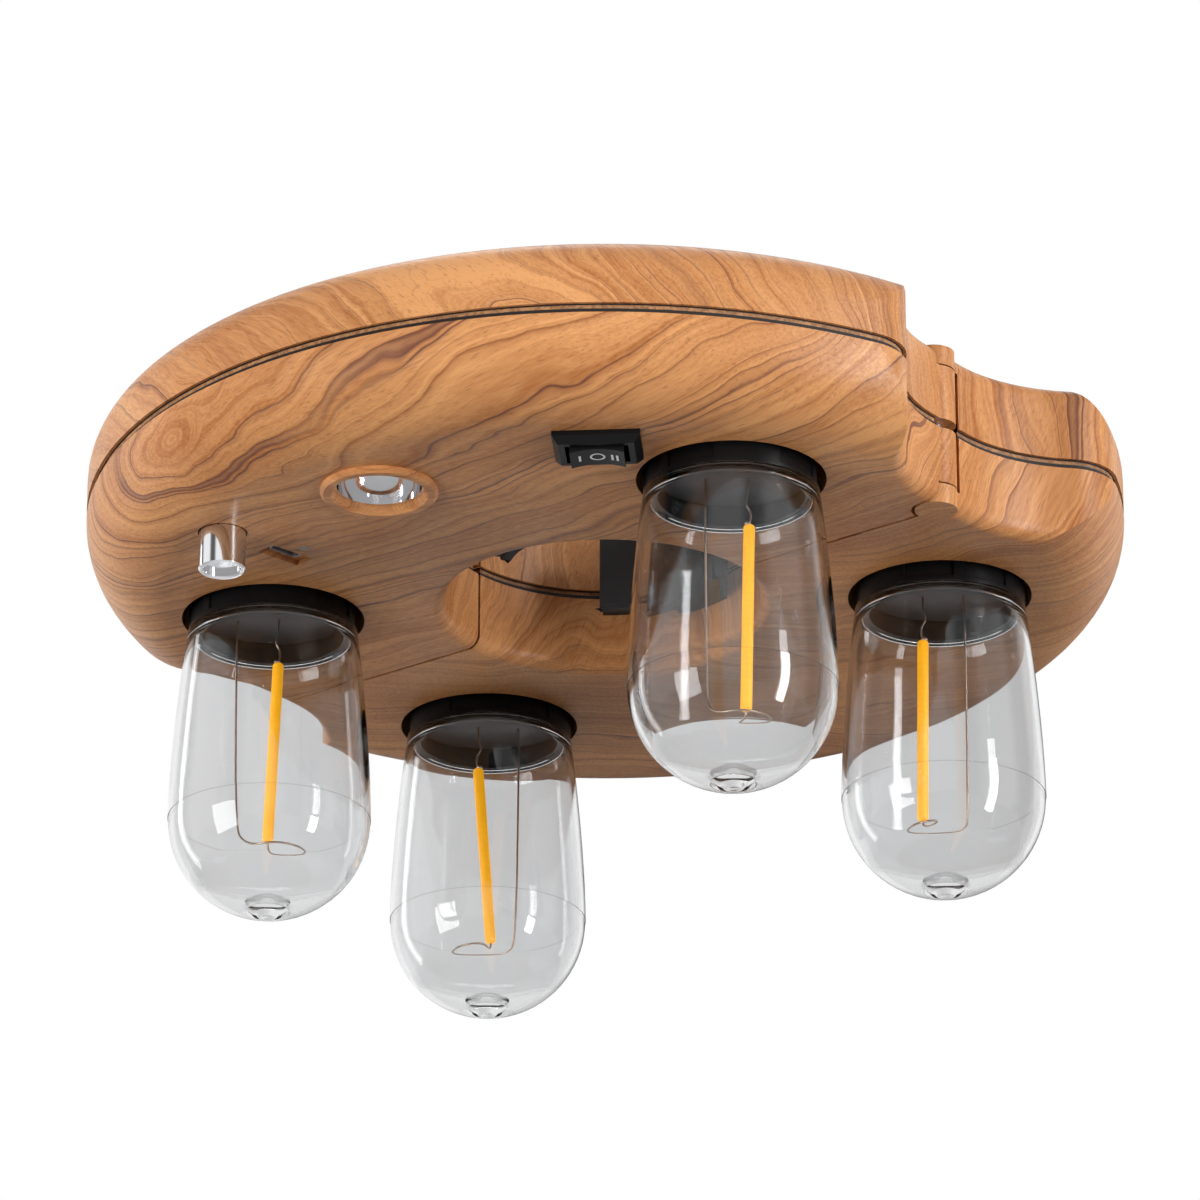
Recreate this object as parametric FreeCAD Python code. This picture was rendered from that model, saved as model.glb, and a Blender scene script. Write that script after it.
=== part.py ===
"""Clip-on light ring for an umbrella pole: a wood-look housing in two hinged halves that closes round
the pole, with four clear filament bulbs, a spotlight, a rocker switch, a push button and a charging
socket on its underside.

Millimetres, +Z up. The model is drawn with the underside at z = 0 and the pole's axis on Z, then
lowered so that the origin lies on the pole's axis at the middle of the grip. +X is the hinge end,
-X the latch end, -Y the front half with the controls and +Y the rear half with the battery.
"""
import FreeCAD, Part
import math
import os

V = FreeCAD.Vector

# --- housing -----------------------------------------------------------------------------------
body_r = 130.0          # outer radius of the round housing
body_h = 42.0           # height of the housing
bottom_round = 20.0     # rounding of the outer edge below
top_round = 12.0        # rounding of the outer edge above
bore_r = 40.0           # radius of the passage round the pole
bore_round = 3.5        # rounding of the passage's two edges
wall = 2.6              # wall of the moulded shells
split_gap = 0.8         # gap between the two halves
waist_x = 104.2         # how far out the two waisted ends stand from the pole's axis
waist_flat = 7.0        # half width of the flat part of a waist
waist_hollow_r = 40.0   # hollow curve from the waist to the lobe
lobe_r = 14.0           # round corner of each lobe
waist_round = 4.0       # rounding of the waist's edges above and below

parting_z = 19.8        # top edge of the lower shell
parting_gap = 2.5       # reveal between the lower and the upper shell
lip_inset = 1.0         # how far the tongue lies behind the surface
lip_t = 1.3             # thickness of the tongue
lip_rise = 2.0          # how far the tongue reaches into the upper shell
lip_clear = 0.2         # clearance round the tongue

# --- screws that hold the shells together -------------------------------------------------------
screw_in = [14.2, 11.1]  # the two outer screws' distances in from the rim, on one side of one half
screw_angles = [26.1, 70.4]
inner_screw_out = 12.0  # the inner screw's distance out from the passage
inner_screw_y = 14.0
screw_r = 1.5
screw_len = 24.0
screw_head_r = 2.8
screw_head_h = 2.0
screw_head_clear = 0.3
screw_sink = 8.0        # depth of the head's seat below the top face
boss_r = 3.6
boss_wall = 1.7         # wall of the upper boss round the head's recess
slot_w = 0.8            # cross slots of the screw heads

# --- hinge ---------------------------------------------------------------------------------------
pin_x = 100.2
hinge_pin_r = 2.0
knuckle_r = 5.2
ear_h = 5.0             # height of the rear half's lower and upper ear
knuckle_gap = 0.4       # gap between knuckles along the pin
pin_clear = 0.05

# --- latch ---------------------------------------------------------------------------------------
latch_low = 11.0        # foot of the latch pocket
latch_high = 31.0       # head of the latch pocket
latch_t = 5.0           # thickness of the hook plate
latch_proud = 0.6       # how far the plate stands out of the waist
latch_clear = 0.6       # clearance round the plate
latch_pivot_y = 11.0    # distance of the pivot from the split
latch_pin_r = 1.5
latch_pin_bury = 4.0    # how deep the pin's ends sit in the shells
catch_near = 5.0        # near flank of the catch rib, from the split
catch_far = 8.0
catch_deep = 3.0        # height of the catch rib in its pocket
nose_w = 3.4            # width of the hook's nose
tab_len = 4.0           # finger tab past the nose

# --- pole grip -----------------------------------------------------------------------------------
pole_r = 24.0           # the grip's radius at rest
pad_t = 3.0
pad_h = 21.0
pad_half_angle = 40.0
holder_t = 3.0
holder_h = 20.0
grip_z = 21.0           # middle height of the grip
stem_w = 18.0
stem_h = 14.0
stem_clear = 0.35
flange_w = 24.0
flange_h = 18.0
flange_t = 3.0
flange_gap = 0.3        # rest gap between the stop flange and the passage's wall
jaw_travel = 5.0
spring_len = 16.0       # room for the spring behind the flange
spring_coil_r = 5.0
spring_wire = 1.1
spring_turns = 4
spring_post_r = 3.4
spring_post_len = 4.0
post_gap = 3.0          # gap between the two posts when the jaw is pushed right back
guide_wall = 2.0

# --- bulbs ---------------------------------------------------------------------------------------
bulb_in = 46.37         # distance of each bulb's axis in from the rim
bulb_angle = 31.9       # direction of the bulbs from the X axis
well_r = 22.9           # hole in the underside round each bulb
well_wall = 2.4
well_depth = 15.6
well_shelf = 2.4
wire_hole_r = 3.0
collar_r = 21.2
collar_drop = 4.5       # how far the collar stands below the underside
collar_wall = 1.8
window_angle = 75.0     # width of each shallow window round the collar
window_count = 3
window_sink = 0.6
window_edge = 1.4       # band left below each window
tab_w = 2.7             # snap tab in the middle of each window
glass_top_r = 21.4
glass_r = 25.2
glass_len = 49.5        # from the collar to the mould line
glass_wall = 1.3
neck_h = 5.5
dimple_r = 6.0
dimple_sink = 0.9
nub_r = 2.5
nub_flare = 0.4
nub_edge = 0.5
nub_proud = 0.6         # how far the nub stands past the round end
neck_clear = 0.1
disc_t = 1.6
filament_r = 1.4
filament_top = -12.0
filament_len = 48.0
lead_r = 0.28
lead_clear = 0.02
lead_apart = 10.5       # distance of the return wire from the filament
wire_turns = [217.0, 37.0, 217.0, 37.0]  # direction of each bulb's return wire, seen from above
filament_offs = [1.5, 2.8, 4.2, 4.4]     # how far each filament's top stands off the other way
leans = [1.8, 3.6, 1.1, -0.9]            # how far each filament's foot leans towards its wire
collar_turn = 40.0      # turn of the first window past the return wire
loop_drop = 2.6         # how far the return wire's loop hangs below the filament
loop_rise = 5.0         # height above the filament's foot where the wire leaves its straight run
loop_r = 8.5
loop_shift = -1.5       # the loop's middle, from the bulb's axis
loop_bend = 3.0
kink_bend = 1.2
solder_r = 1.1

# --- spotlight -----------------------------------------------------------------------------------
spot_in = 39.5          # distance of its axis in from the rim
spot_hole_r = 12.6
trim_r = 14.25
trim_bore_r = 11.25
trim_proud = 1.6
trim_spigot_r = 12.4
trim_bevel = 0.5
trim_edge = 0.8
cup_mouth_r = 10.3
cup_mouth_z = 0.8
cup_mouth_clear = 0.15
cup_neck_r = 1.9
cup_steps = [(1.0, 0.0), (0.86, 0.33), (0.56, 0.72), (0.0, 1.0)]  # shares of width and height
cup_top = 14.6
cup_wall = 0.8
cup_seat = 0.2          # height of the flange's seat above the floor's inner face
cup_flange_r = 13.6
spot_board_r = 9.0
spot_board_t = 1.4
emitter_r = 1.5

# --- rocker switch -------------------------------------------------------------------------------
switch_in = 30.53       # distance of its middle in from the rim
switch_angle = -54.12   # its direction from the X axis
switch_turn = 33.0
bezel_l = 21.0
bezel_w = 15.0
bezel_t = 3.0
bezel_edge = 1.2
bezel_bevel = 1.5
switch_body_l = 19.0
switch_body_w = 12.9
switch_body_h = 17.0
switch_hole_clear = 0.1
rocker_l = 12.9
rocker_w = 8.7
rocker_face = 4.6       # how far the rocker's ends stand below the underside
rocker_dish = 1.0
rocker_pivot_z = 1.5
rocker_side_gap = 0.35
rocker_end_gap = 1.1
rocker_pin_r = 1.2
rocker_pin_len = 1.2
blade_l = 6.0

# --- push button ---------------------------------------------------------------------------------
button_in = 25.71       # distance of its axis in from the rim
button_angle = -116.54
button_r = 5.75
button_proud = 10.0
button_clear = 0.35
button_seat = 0.3       # rest gap between the flange and the floor
button_rim = 1.3
button_edge = 0.4
button_recess = 1.5
button_flange_r = 7.2
button_flange_t = 1.2
button_hub_r = 2.5
button_hub_h = 1.5
button_travel = 1.5
button_spring_r = 5.2
button_spring_wire = 0.6
button_spring_turns = 3

# --- charging socket, indicator and main board ---------------------------------------------------
usb_in = 44.67          # distance of its middle in from the rim
usb_angle = -120.26
usb_turn = 78.0         # direction of the slot's long side
usb_l = 8.94
usb_w = 3.26
usb_wall = 0.3
usb_tongue_l = 6.6
usb_tongue_t = 0.7
usb_recess_l = 12.5
usb_recess_w = 5.5
usb_recess_d = 1.2
usb_clear = 0.2
lamp_off = 6.2          # distance of the indicator from the socket's middle
lamp_r = 1.75
lamp_sink = 0.2         # how far its end lies above the underside
lamp_clear = 0.05
board_l = 38.0
board_w = 34.0
board_past = 13.4       # how far the board reaches past the button's axis, towards the latch
board_back = 8.7        # and towards the rim
board_z = 12.0
board_t = 1.6
board_inset = 4.0       # posts and larger parts stand this far inside the board's edges
chip_w = 8.0
chip_h = 1.6
inductor_h = 4.0
header_l = 6.0
header_h = 6.0          # header that the leads plug into
post_r = 2.4
tact_w = 6.0
tact_h = 3.4
tact_knob_r = 1.75
tact_gap = 0.2          # gap between the pressed button and the tact switch's knob

# --- battery -------------------------------------------------------------------------------------
cell_r = 9.1
cell_len = 65.0
cell_edge = 0.8         # bevel of the cells' rims
cell_nose_r = 2.8
cell_nose_h = 1.2
cell_in = 33.0          # distance of the outer cell's axis in from the rim
cell_pitch = 19.5
tray_t = 1.6
tray_wall = 3.3         # thickness of the tray's ends
tray_near = 11.5        # how far the tray reaches past the inner cell's axis
tray_far = 7.0          # and past the outer cell's axis
tray_end_h = 16.0
cell_clear = 0.2
rib_l = 24.0
rib_t = 0.6

BIG = 400.0             # larger than the part, for cutting tools
UP = V(0, 0, 1)


# --- drawing helpers -----------------------------------------------------------------------------
def cyl(r, z0, z1, x=0.0, y=0.0):
    return Part.makeCylinder(r, z1 - z0, V(x, y, z0))


def box(x0, x1, y0, y1, z0, z1):
    return Part.makeBox(x1 - x0, y1 - y0, z1 - z0, V(x0, y0, z0))


def polar(r, angle, z=0.0):
    a = math.radians(angle)
    return V(r * math.cos(a), r * math.sin(a), z)


def from_rim(inward, angle):
    """Place at a distance in from the rim, in a direction."""
    p = polar(body_r - inward, angle)
    return p.x, p.y


# places of what shows on the underside
bulb_places = [from_rim(bulb_in, angle) for angle in
               (180 + bulb_angle, 180 - bulb_angle, -bulb_angle, bulb_angle)]
spot_at = from_rim(spot_in, -90.0)
switch_at = from_rim(switch_in, switch_angle)
button_at = from_rim(button_in, button_angle)
usb_at = from_rim(usb_in, usb_angle)
lamp_at = (usb_at[0] + lamp_off, usb_at[1])


def wire(points, place):
    """Closed wire through the points; a pair of points is an arc's middle and its end."""
    edges = []
    here = place(*points[0])
    for leg in points[1:] + [points[0]]:
        if isinstance(leg[0], tuple):
            middle, end = place(*leg[0]), place(*leg[1])
            edges.append(Part.Arc(here, middle, end).toShape())
        else:
            end = place(*leg)
            if here.distanceToPoint(end) > 1e-6:
                edges.append(Part.makeLine(here, end))
        here = end
    return Part.Wire(edges)


def turned(points):
    """Solid of revolution about Z from (radius, height) points."""
    face = Part.Face(wire(points, lambda r, z: V(r, 0, z)))
    return face.revolve(V(0, 0, 0), UP, 360)


def prism(points, z0, z1):
    """Upright prism from (x, y) points."""
    face = Part.Face(wire(points, lambda x, y: V(x, y, z0)))
    return face.extrude(V(0, 0, z1 - z0))


def fuse(first, *others):
    return first.multiFuse(list(others)).removeSplitter()


def moved(shape, x, y, turn=0.0):
    """Copy of a shape drawn at the origin, turned about Z and carried to its place."""
    copy = shape.copy()
    copy.rotate(V(0, 0, 0), UP, turn)
    copy.translate(V(x, y, 0))
    return copy


def to_front(shape):
    """The rear half's shape mirrored to the front half."""
    return shape.mirror(V(0, 0, 0), V(0, 1, 0))


def stadium(length, width, z0, z1):
    half, r = (length - width) / 2, width / 2
    return prism([(-half, -r), (half, -r), ((half + r, 0), (half, r)), (-half, r),
                  ((-half - r, 0), (-half, -r))], z0, z1)


def bent_bar(start, centre, axis, angle, wire_r):
    """Round bar along an arc: its section at the start, turned about an axis through the centre."""
    along = axis.cross(start - centre)
    section = Part.Face(Part.Wire(Part.makeCircle(wire_r, start, along)))
    return section.revolve(centre, axis, angle)


def coil(radius, thick, turns, length):
    """Spring of square wire along Z from z = 0: half turns, each in its own tilted plane."""
    half = thick / 2
    tilt = math.atan2((length - thick) / turns, 4 * radius)
    end = half * (math.cos(tilt) + math.sin(tilt))
    climb = (length - 2 * end) / (2 * turns)
    pieces = []
    for i in range(2 * turns):
        side = 1 if i % 2 == 0 else -1
        centre = V(0, 0, end + (i + 0.5) * climb)
        out = V(side * radius, 0, -climb / 2)
        axis = out.cross(V(0, side, 0)).normalize()
        across = V(out).normalize()
        corners = [centre + out + across * a + axis * b for a, b in
                   ((-half, -half), (half, -half), (half, half), (-half, half), (-half, -half))]
        section = Part.Face(Part.makePolygon(corners))
        pieces.append(section.revolve(centre, axis, 180))
    return fuse(*pieces)


def rod(points, wire_r, bend):
    """Wire of round section: straight runs through the points, joined by tangent arcs."""
    pieces = []
    here = points[0]
    for before, corner, after in zip(points, points[1:], points[2:]):
        back, ahead = before - corner, after - corner
        half = back.getAngle(ahead) / 2
        reach = min(bend / math.tan(half), 0.45 * back.Length, 0.45 * ahead.Length)
        back.normalize()
        ahead.normalize()
        start = corner + back * reach
        middle = V(back + ahead).normalize()
        centre = corner + middle * (reach / math.cos(half))
        axis = ahead.cross(back)
        pieces.append(Part.makeCylinder(wire_r, (start - here).Length, here, start - here))
        pieces.append(bent_bar(start, centre, axis, 180 - 2 * math.degrees(half), wire_r))
        here = corner + ahead * reach
    last = points[-1]
    pieces.append(Part.makeCylinder(wire_r, (last - here).Length, here, last - here))
    return fuse(*pieces)


def export(name, *solids):
    """Writes one node: its solids, lowered to the grip's middle."""
    shape = solids[0] if len(solids) == 1 else Part.makeCompound(list(solids))
    shape = shape.copy()
    shape.translate(V(0, 0, -grip_z))
    shape.exportStep("parts/" + name + ".step")


# --- housing -------------------------------------------------------------------------------------
def half_plan(inset=0.0):
    """Outline of the rear half, drawn inwards by an inset: passage, split, waists, lobes, rim."""
    bore, rim = bore_r + inset, body_r - inset
    split, waist = split_gap / 2 + inset, waist_x - inset
    hollow = V(waist_x + waist_hollow_r, waist_flat, 0)
    lobe_reach, apart = body_r - lobe_r, waist_hollow_r + lobe_r
    opening = (hollow.Length ** 2 + lobe_reach ** 2 - apart ** 2) / (2 * hollow.Length * lobe_reach)
    lobe_angle = math.degrees(math.atan2(hollow.y, hollow.x) + math.acos(opening))
    lobe = polar(lobe_reach, lobe_angle)
    toward = math.degrees(math.atan2(lobe.y - hollow.y, lobe.x - hollow.x))
    meet = hollow + polar(waist_hollow_r + inset, toward)
    hollow_mid = hollow + polar(waist_hollow_r + inset, (toward + 180) / 2)
    lobe_mid = lobe + polar(lobe_r - inset, (toward - 180 + lobe_angle) / 2)
    lobe_end = polar(rim, lobe_angle)
    mouth = math.sqrt(bore ** 2 - split ** 2)

    def left(p):
        return (-p.x, p.y)

    def right(p):
        return (p.x, p.y)

    return [(mouth, split), (waist, split), (waist, waist_flat),
            (right(hollow_mid), right(meet)), (right(lobe_mid), right(lobe_end)),
            ((0, rim), left(lobe_end)), (left(lobe_mid), left(meet)),
            (left(hollow_mid), (-waist, waist_flat)), (-waist, split), (-mouth, split),
            ((0, bore), (mouth, split))]


def drum(inset=0.0):
    """Round body with its large outer roundings."""
    shape = cyl(body_r - inset, inset, body_h - inset)
    low = [e for e in shape.Edges if e.BoundBox.ZMax < inset + 0.1]
    shape = shape.makeFillet(bottom_round - inset, low)
    high = [e for e in shape.Edges if e.BoundBox.ZMin > body_h - inset - 0.1]
    return shape.makeFillet(top_round - inset, high)


def soften(shape):
    """Rounds the waists' and the passage's edges above and below."""
    def on_level(edge):
        box_ = edge.BoundBox
        flat = box_.ZLength < 1e-6
        on_split = box_.YMax < split_gap / 2 + 1e-6
        return flat and not on_split

    def at_bore(edge):
        return abs(edge.CenterOfMass.x) < 1e-3 and edge.BoundBox.XLength < 2 * bore_r + 1

    rims = [e for e in shape.Edges if on_level(e)]
    shape = shape.makeFillet(bore_round, [e for e in rims if at_bore(e)])
    rims = [e for e in shape.Edges if on_level(e) and e.BoundBox.XMax > bore_r + 10]
    rims = [e for e in rims if e.BoundBox.XMin > bore_r + 10]
    return shape.makeFillet(waist_round, rims)


def half_form(inset=0.0):
    """The rear half as a closed body; its outer skin has softened waists."""
    form = prism(half_plan(inset), inset, body_h - inset)
    if inset == 0.0:
        form = soften(form)
    return form.common(drum(inset))


def screw_places():
    """Centres of one half's six screws, three on each side."""
    places = [from_rim(inward, angle) for inward, angle in zip(screw_in, screw_angles)]
    places.append((bore_r + inner_screw_out, inner_screw_y))
    return [(side * x, y) for x, y in places for side in (-1, 1)]


def well_parts():
    """Tubular wells for the bulbs, with the holes that go with them."""
    solids, holes = [], []
    for x, y in (bulb_places[1], bulb_places[3]):
        solids.append(cyl(well_r + well_wall, wall / 2, well_depth + well_shelf, x, y))
        holes.append(cyl(well_r, -1, well_depth, x, y))
        holes.append(cyl(wire_hole_r, well_depth - 1, well_depth + well_shelf + 1, x, y))
    return solids, holes


def grip_guide():
    """Channel behind the passage's wall that carries the jaw's flange and the spring's seat."""
    flange_back = bore_r + wall + flange_gap + flange_t
    seat = flange_back + spring_len
    half = flange_w / 2 + stem_clear
    cheeks = [box(x, x + guide_wall, bore_r + wall / 2, seat + guide_wall, wall / 2,
                  grip_z + flange_h / 2) for x in (-half - guide_wall, half)]
    back = box(-half, half, seat, seat + guide_wall, wall / 2, grip_z + flange_h / 2)
    reach = spring_len - spring_post_len - jaw_travel - post_gap
    post = Part.makeCylinder(spring_post_r, reach, V(0, seat, grip_z), V(0, -1, 0))
    return cheeks + [back, post]


def grip_window():
    half_w, half_h = stem_w / 2 + stem_clear, stem_h / 2 + stem_clear
    return box(-half_w, half_w, bore_r - 3, bore_r + wall + 1, grip_z - half_h, grip_z + half_h)


def corner_blocks(form):
    """Solid corners for the hinge's knuckles and for the latch pocket."""
    clear_r = math.sqrt(2) * (waist_x - pin_x) + knuckle_gap
    hinge = cyl(clear_r + wall, 0, body_h, pin_x, 0)
    deep = latch_t - latch_proud + latch_clear + wall
    reach = latch_pivot_y + latch_t / 2 + latch_clear + wall
    latch = box(-waist_x - latch_t, -waist_x + deep, 0, reach, latch_low - wall - latch_pin_bury,
                latch_high + wall + latch_pin_bury)
    return form.common(Part.makeCompound([hinge, latch]))


def hinge_cut(low, high):
    """Room for the other half's knuckle between two heights."""
    clear_r = math.sqrt(2) * (waist_x - pin_x) + knuckle_gap
    return cyl(clear_r, low, high, pin_x, 0)


def latch_pocket(reach):
    """Pocket at the latch end, from the split to a given distance."""
    depth = latch_t - latch_proud + latch_clear
    return box(-BIG, -waist_x + depth, -1, reach, latch_low, latch_high)


def lower_bosses(form):
    pillars = [cyl(boss_r, wall / 2, parting_z + parting_gap / 2, x, y)
               for x, y in screw_places()]
    return form.common(Part.makeCompound(pillars))


def upper_bosses(form):
    r = screw_head_r + screw_head_clear + boss_wall
    pillars = [cyl(r, parting_z + parting_gap / 2, body_h - wall / 2, x, y)
               for x, y in screw_places()]
    return form.common(Part.makeCompound(pillars))


def screw_holes(seat):
    return [part for x, y in screw_places()
            for part in (cyl(screw_head_r + screw_head_clear, seat, body_h + 1, x, y),
                         cyl(screw_r, seat - screw_len, seat + 1, x, y))]


def half_shells():
    """Lower and upper shell of the rear half, before the hinge, latch and fittings differ."""
    outer = half_form()
    skin = outer.cut(half_form(wall))
    skin = fuse(skin, *corner_blocks(outer).Solids)
    below = box(-BIG, BIG, -BIG, BIG, -1, parting_z)
    above = box(-BIG, BIG, -BIG, BIG, parting_z + parting_gap, body_h + 1)
    lip_top = parting_z + parting_gap + lip_rise

    wells, well_holes = well_parts()
    inner = half_form(wall / 2)
    tongue = prism(half_plan(lip_inset), parting_z - 1, lip_top)
    tongue = tongue.cut(prism(half_plan(lip_inset + lip_t), parting_z - 2, lip_top + 1))
    tongue = tongue.cut(cyl(knuckle_r + lip_clear, parting_z, body_h, pin_x, 0))
    lower = fuse(skin.common(below), tongue, *wells, *grip_guide(), *lower_bosses(inner).Solids)
    seat = body_h - screw_sink
    lower = lower.cut(Part.makeCompound(well_holes + screw_holes(seat) + [grip_window()]))

    rebate = prism(half_plan(lip_inset - lip_clear), parting_z, lip_top + lip_clear)
    rebate = rebate.cut(Part.makeCompound(upper_bosses(inner).Solids))
    upper = skin.common(above).cut(rebate)
    upper = fuse(upper, *upper_bosses(inner).Solids)
    cheeks = box(-flange_w, flange_w, bore_r + wall / 2 + 1, bore_r + BIG, parting_z, lip_top + lip_clear)
    upper = upper.cut(Part.makeCompound(screw_holes(seat) + [grip_window()]))
    return lower, upper.cut(cheeks.common(Part.makeCompound(grip_guide())))


def rear_shells(lower, upper):
    """Ears round the hinge pin, and the catch rib in the latch pocket."""
    low_ear = cyl(knuckle_r, 0, ear_h, pin_x, 0)
    top_ear = cyl(knuckle_r, body_h - ear_h, body_h, pin_x, 0)
    middle = hinge_cut(ear_h, body_h - ear_h)
    bore = cyl(hinge_pin_r, wall / 2, body_h + 1, pin_x, 0)
    reach = catch_far + nose_w + tab_len + 2 * latch_clear
    pocket = latch_pocket(reach)
    rib_x = -waist_x + latch_t - latch_proud + latch_clear
    rib = box(rib_x - catch_deep, rib_x + 0.5, catch_near, catch_far, latch_low, latch_high)
    low_rib = rib.common(box(-BIG, BIG, -BIG, BIG, 0, parting_z))
    high_rib = rib.common(box(-BIG, BIG, -BIG, BIG, parting_z + parting_gap, body_h))
    lower = fuse(lower.cut(middle).cut(pocket), low_ear, low_rib).cut(bore)
    upper = fuse(upper.cut(middle).cut(pocket), top_ear, high_rib).cut(bore)
    return lower, upper


def front_shells(lower, upper):
    """Middle knuckle, latch pocket with its pin holes, and the holes of the fittings below."""
    low, high = ear_h + knuckle_gap, body_h - ear_h - knuckle_gap
    ear_room = Part.makeCompound([hinge_cut(-1, low), hinge_cut(high, body_h + 1)])
    bore = cyl(hinge_pin_r + pin_clear, 0, body_h, pin_x, 0)
    pocket = to_front(latch_pocket(latch_pivot_y + latch_t / 2 + latch_clear))
    pivot = latch_pin(0.0)
    lower = fuse(to_front(lower).cut(ear_room), cyl(knuckle_r, low, parting_z, pin_x, 0))
    upper = fuse(to_front(upper).cut(ear_room),
                 cyl(knuckle_r, parting_z + parting_gap, high, pin_x, 0))
    lower = fuse(lower, *board_posts())
    lower = lower.cut(Part.makeCompound([bore, pocket, pivot] + fitting_holes()))
    return lower, upper.cut(Part.makeCompound([bore, pocket, pivot]))


def fitting_holes():
    """Holes in the front half's floor for the spotlight, switch, button, socket and indicator."""
    l, w = switch_body_l / 2 + switch_hole_clear, switch_body_w / 2 + switch_hole_clear
    switch = moved(box(-l, l, -w, w, -1, wall + 1), *switch_at, switch_turn)
    slot = stadium(usb_l + 2 * usb_clear, usb_w + 2 * usb_clear, -1, wall + 1)
    l, w = usb_recess_l / 2, usb_recess_w / 2
    recess = box(-l, l, -w, w, -1, usb_recess_d)
    return [cyl(spot_hole_r, -1, wall + 1, *spot_at), switch,
            cyl(button_r + button_clear, -1, wall + 1, *button_at),
            moved(slot, *usb_at, usb_turn), moved(recess, *usb_at, usb_turn),
            cyl(lamp_r + lamp_clear, -1, wall + 1, *lamp_at)]


def board_corner():
    """The board's corner nearest to the latch and the rim."""
    return button_at[0] - board_past, button_at[1] - board_back


def board_posts():
    x0, y0 = board_corner()
    places = [(x, y) for x in (x0 + board_inset, x0 + board_l - board_inset)
              for y in (y0 + board_inset, y0 + board_w - board_inset)]
    return [cyl(post_r, wall / 2, board_z, x, y) for x, y in places]


def shell_screws():
    """Pan-head screws of one half, driven from the top."""
    seat = body_h - screw_sink
    screw = fuse(cyl(screw_r, seat - screw_len, seat), cyl(screw_head_r, seat, seat + screw_head_h))
    reach = screw_head_r * 0.7
    top, deep = seat + screw_head_h + 1, seat + screw_head_h / 2
    cross = fuse(box(-reach, reach, -slot_w / 2, slot_w / 2, deep, top),
                 box(-slot_w / 2, slot_w / 2, -reach, reach, deep, top))
    screw = screw.cut(cross)
    return [moved(screw, x, y) for x, y in screw_places()]


# --- hinge pin and latch -------------------------------------------------------------------------
def hinge_pin():
    return cyl(hinge_pin_r, wall / 2, body_h - 0.5, pin_x, 0)


def latch_pin(clear):
    pivot_x = -waist_x - latch_proud + latch_t / 2
    return cyl(latch_pin_r + clear, latch_low - latch_pin_bury, latch_high + latch_pin_bury,
               pivot_x, -latch_pivot_y)


def latch_hook():
    """Hook plate: round root on the pin, thin bridge over the catch rib, nose and finger tab."""
    face = -waist_x - latch_proud
    back = face + latch_t
    rib_top = -waist_x + latch_t - latch_proud + latch_clear - catch_deep
    bridge = rib_top - 0.3
    root_y, root_x = -latch_pivot_y, face + latch_t / 2
    nose = catch_far + 0.3
    tab = nose + nose_w + tab_len
    points = [(back, root_y), (back, catch_near - 2), (bridge, catch_near - 2 + 0.5), (bridge, nose),
              (back, nose), (back, nose + nose_w - 1.5), (bridge, nose + nose_w), (bridge, tab),
              (face - 1.2, tab), (face, nose + nose_w - 2), (face, root_y),
              ((root_x, root_y - latch_t / 2), (back, root_y))]
    plate = prism(points, latch_low + latch_clear / 2, latch_high - latch_clear / 2)
    return plate.cut(latch_pin(pin_clear))


# --- pole grip -----------------------------------------------------------------------------------
def arc_plate(inner, outer, half_angle, height):
    """Curved plate about the pole's axis, centred on +Y at the grip's height."""
    a0, a1 = 90 - half_angle, 90 + half_angle
    at = [polar(r, a) for r, a in ((inner, a0), (outer, a0), (outer, 90), (outer, a1),
                                   (inner, a1), (inner, 90))]
    p = [(v.x, v.y) for v in at]
    return prism([p[0], p[1], (p[2], p[3]), p[4], (p[5], p[0])],
                 grip_z - height / 2, grip_z + height / 2)


def jaw():
    """Curved holder on a square stem with a stop flange and a spring post."""
    inner = pole_r + pad_t
    flange_front = bore_r + wall + flange_gap
    flange_back = flange_front + flange_t
    holder = arc_plate(inner, inner + holder_t, pad_half_angle - 2, holder_h)
    stem = box(-stem_w / 2, stem_w / 2, inner + 1, flange_back,
               grip_z - stem_h / 2, grip_z + stem_h / 2)
    stem = stem.cut(cyl(inner + holder_t / 2, 0, body_h))
    flange = box(-flange_w / 2, flange_w / 2, bore_r / 2, flange_back,
                 grip_z - flange_h / 2, grip_z + flange_h / 2)
    flange = flange.cut(cyl(flange_front, 0, body_h))
    post = Part.makeCylinder(spring_post_r, spring_post_len, V(0, flange_back, grip_z), V(0, 1, 0))
    return fuse(holder, stem, flange, post)


def jaw_pad():
    return arc_plate(pole_r, pole_r + pad_t, pad_half_angle, pad_h)


def jaw_spring():
    spring = coil(spring_coil_r, spring_wire, spring_turns, spring_len)
    spring.rotate(V(0, 0, 0), V(1, 0, 0), -90)
    spring.translate(V(0, bore_r + wall + flange_gap + flange_t, grip_z))
    return spring


# --- bulbs ---------------------------------------------------------------------------------------
def bulb_collar():
    """Black collar with shallow windows, each with a snap tab, seated against the well's shelf."""
    low, high = -collar_drop, well_depth
    ring = cyl(collar_r, low, high).cut(cyl(collar_r - collar_wall, low - 1, high + 1))
    sink = cyl(collar_r + 1, low + window_edge, high / 2)
    sink = sink.cut(cyl(collar_r - window_sink, low, high))
    for i in range(window_count):
        a0 = i * 360.0 / window_count - window_angle / 2
        corner = polar(2 * collar_r, a0)
        middle = polar(2 * collar_r, a0 + window_angle / 2)
        end = polar(2 * collar_r, a0 + window_angle)
        sector = prism([(0, 0), (corner.x, corner.y), (middle.x, middle.y), (end.x, end.y)],
                       low, high)
        tab = box(collar_r - window_sink - 0.1, collar_r, -tab_w / 2, tab_w / 2, low, high)
        tab.rotate(V(0, 0, 0), UP, i * 360.0 / window_count)
        ring = ring.cut(sink.common(sector).cut(tab))
    return ring


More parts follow.
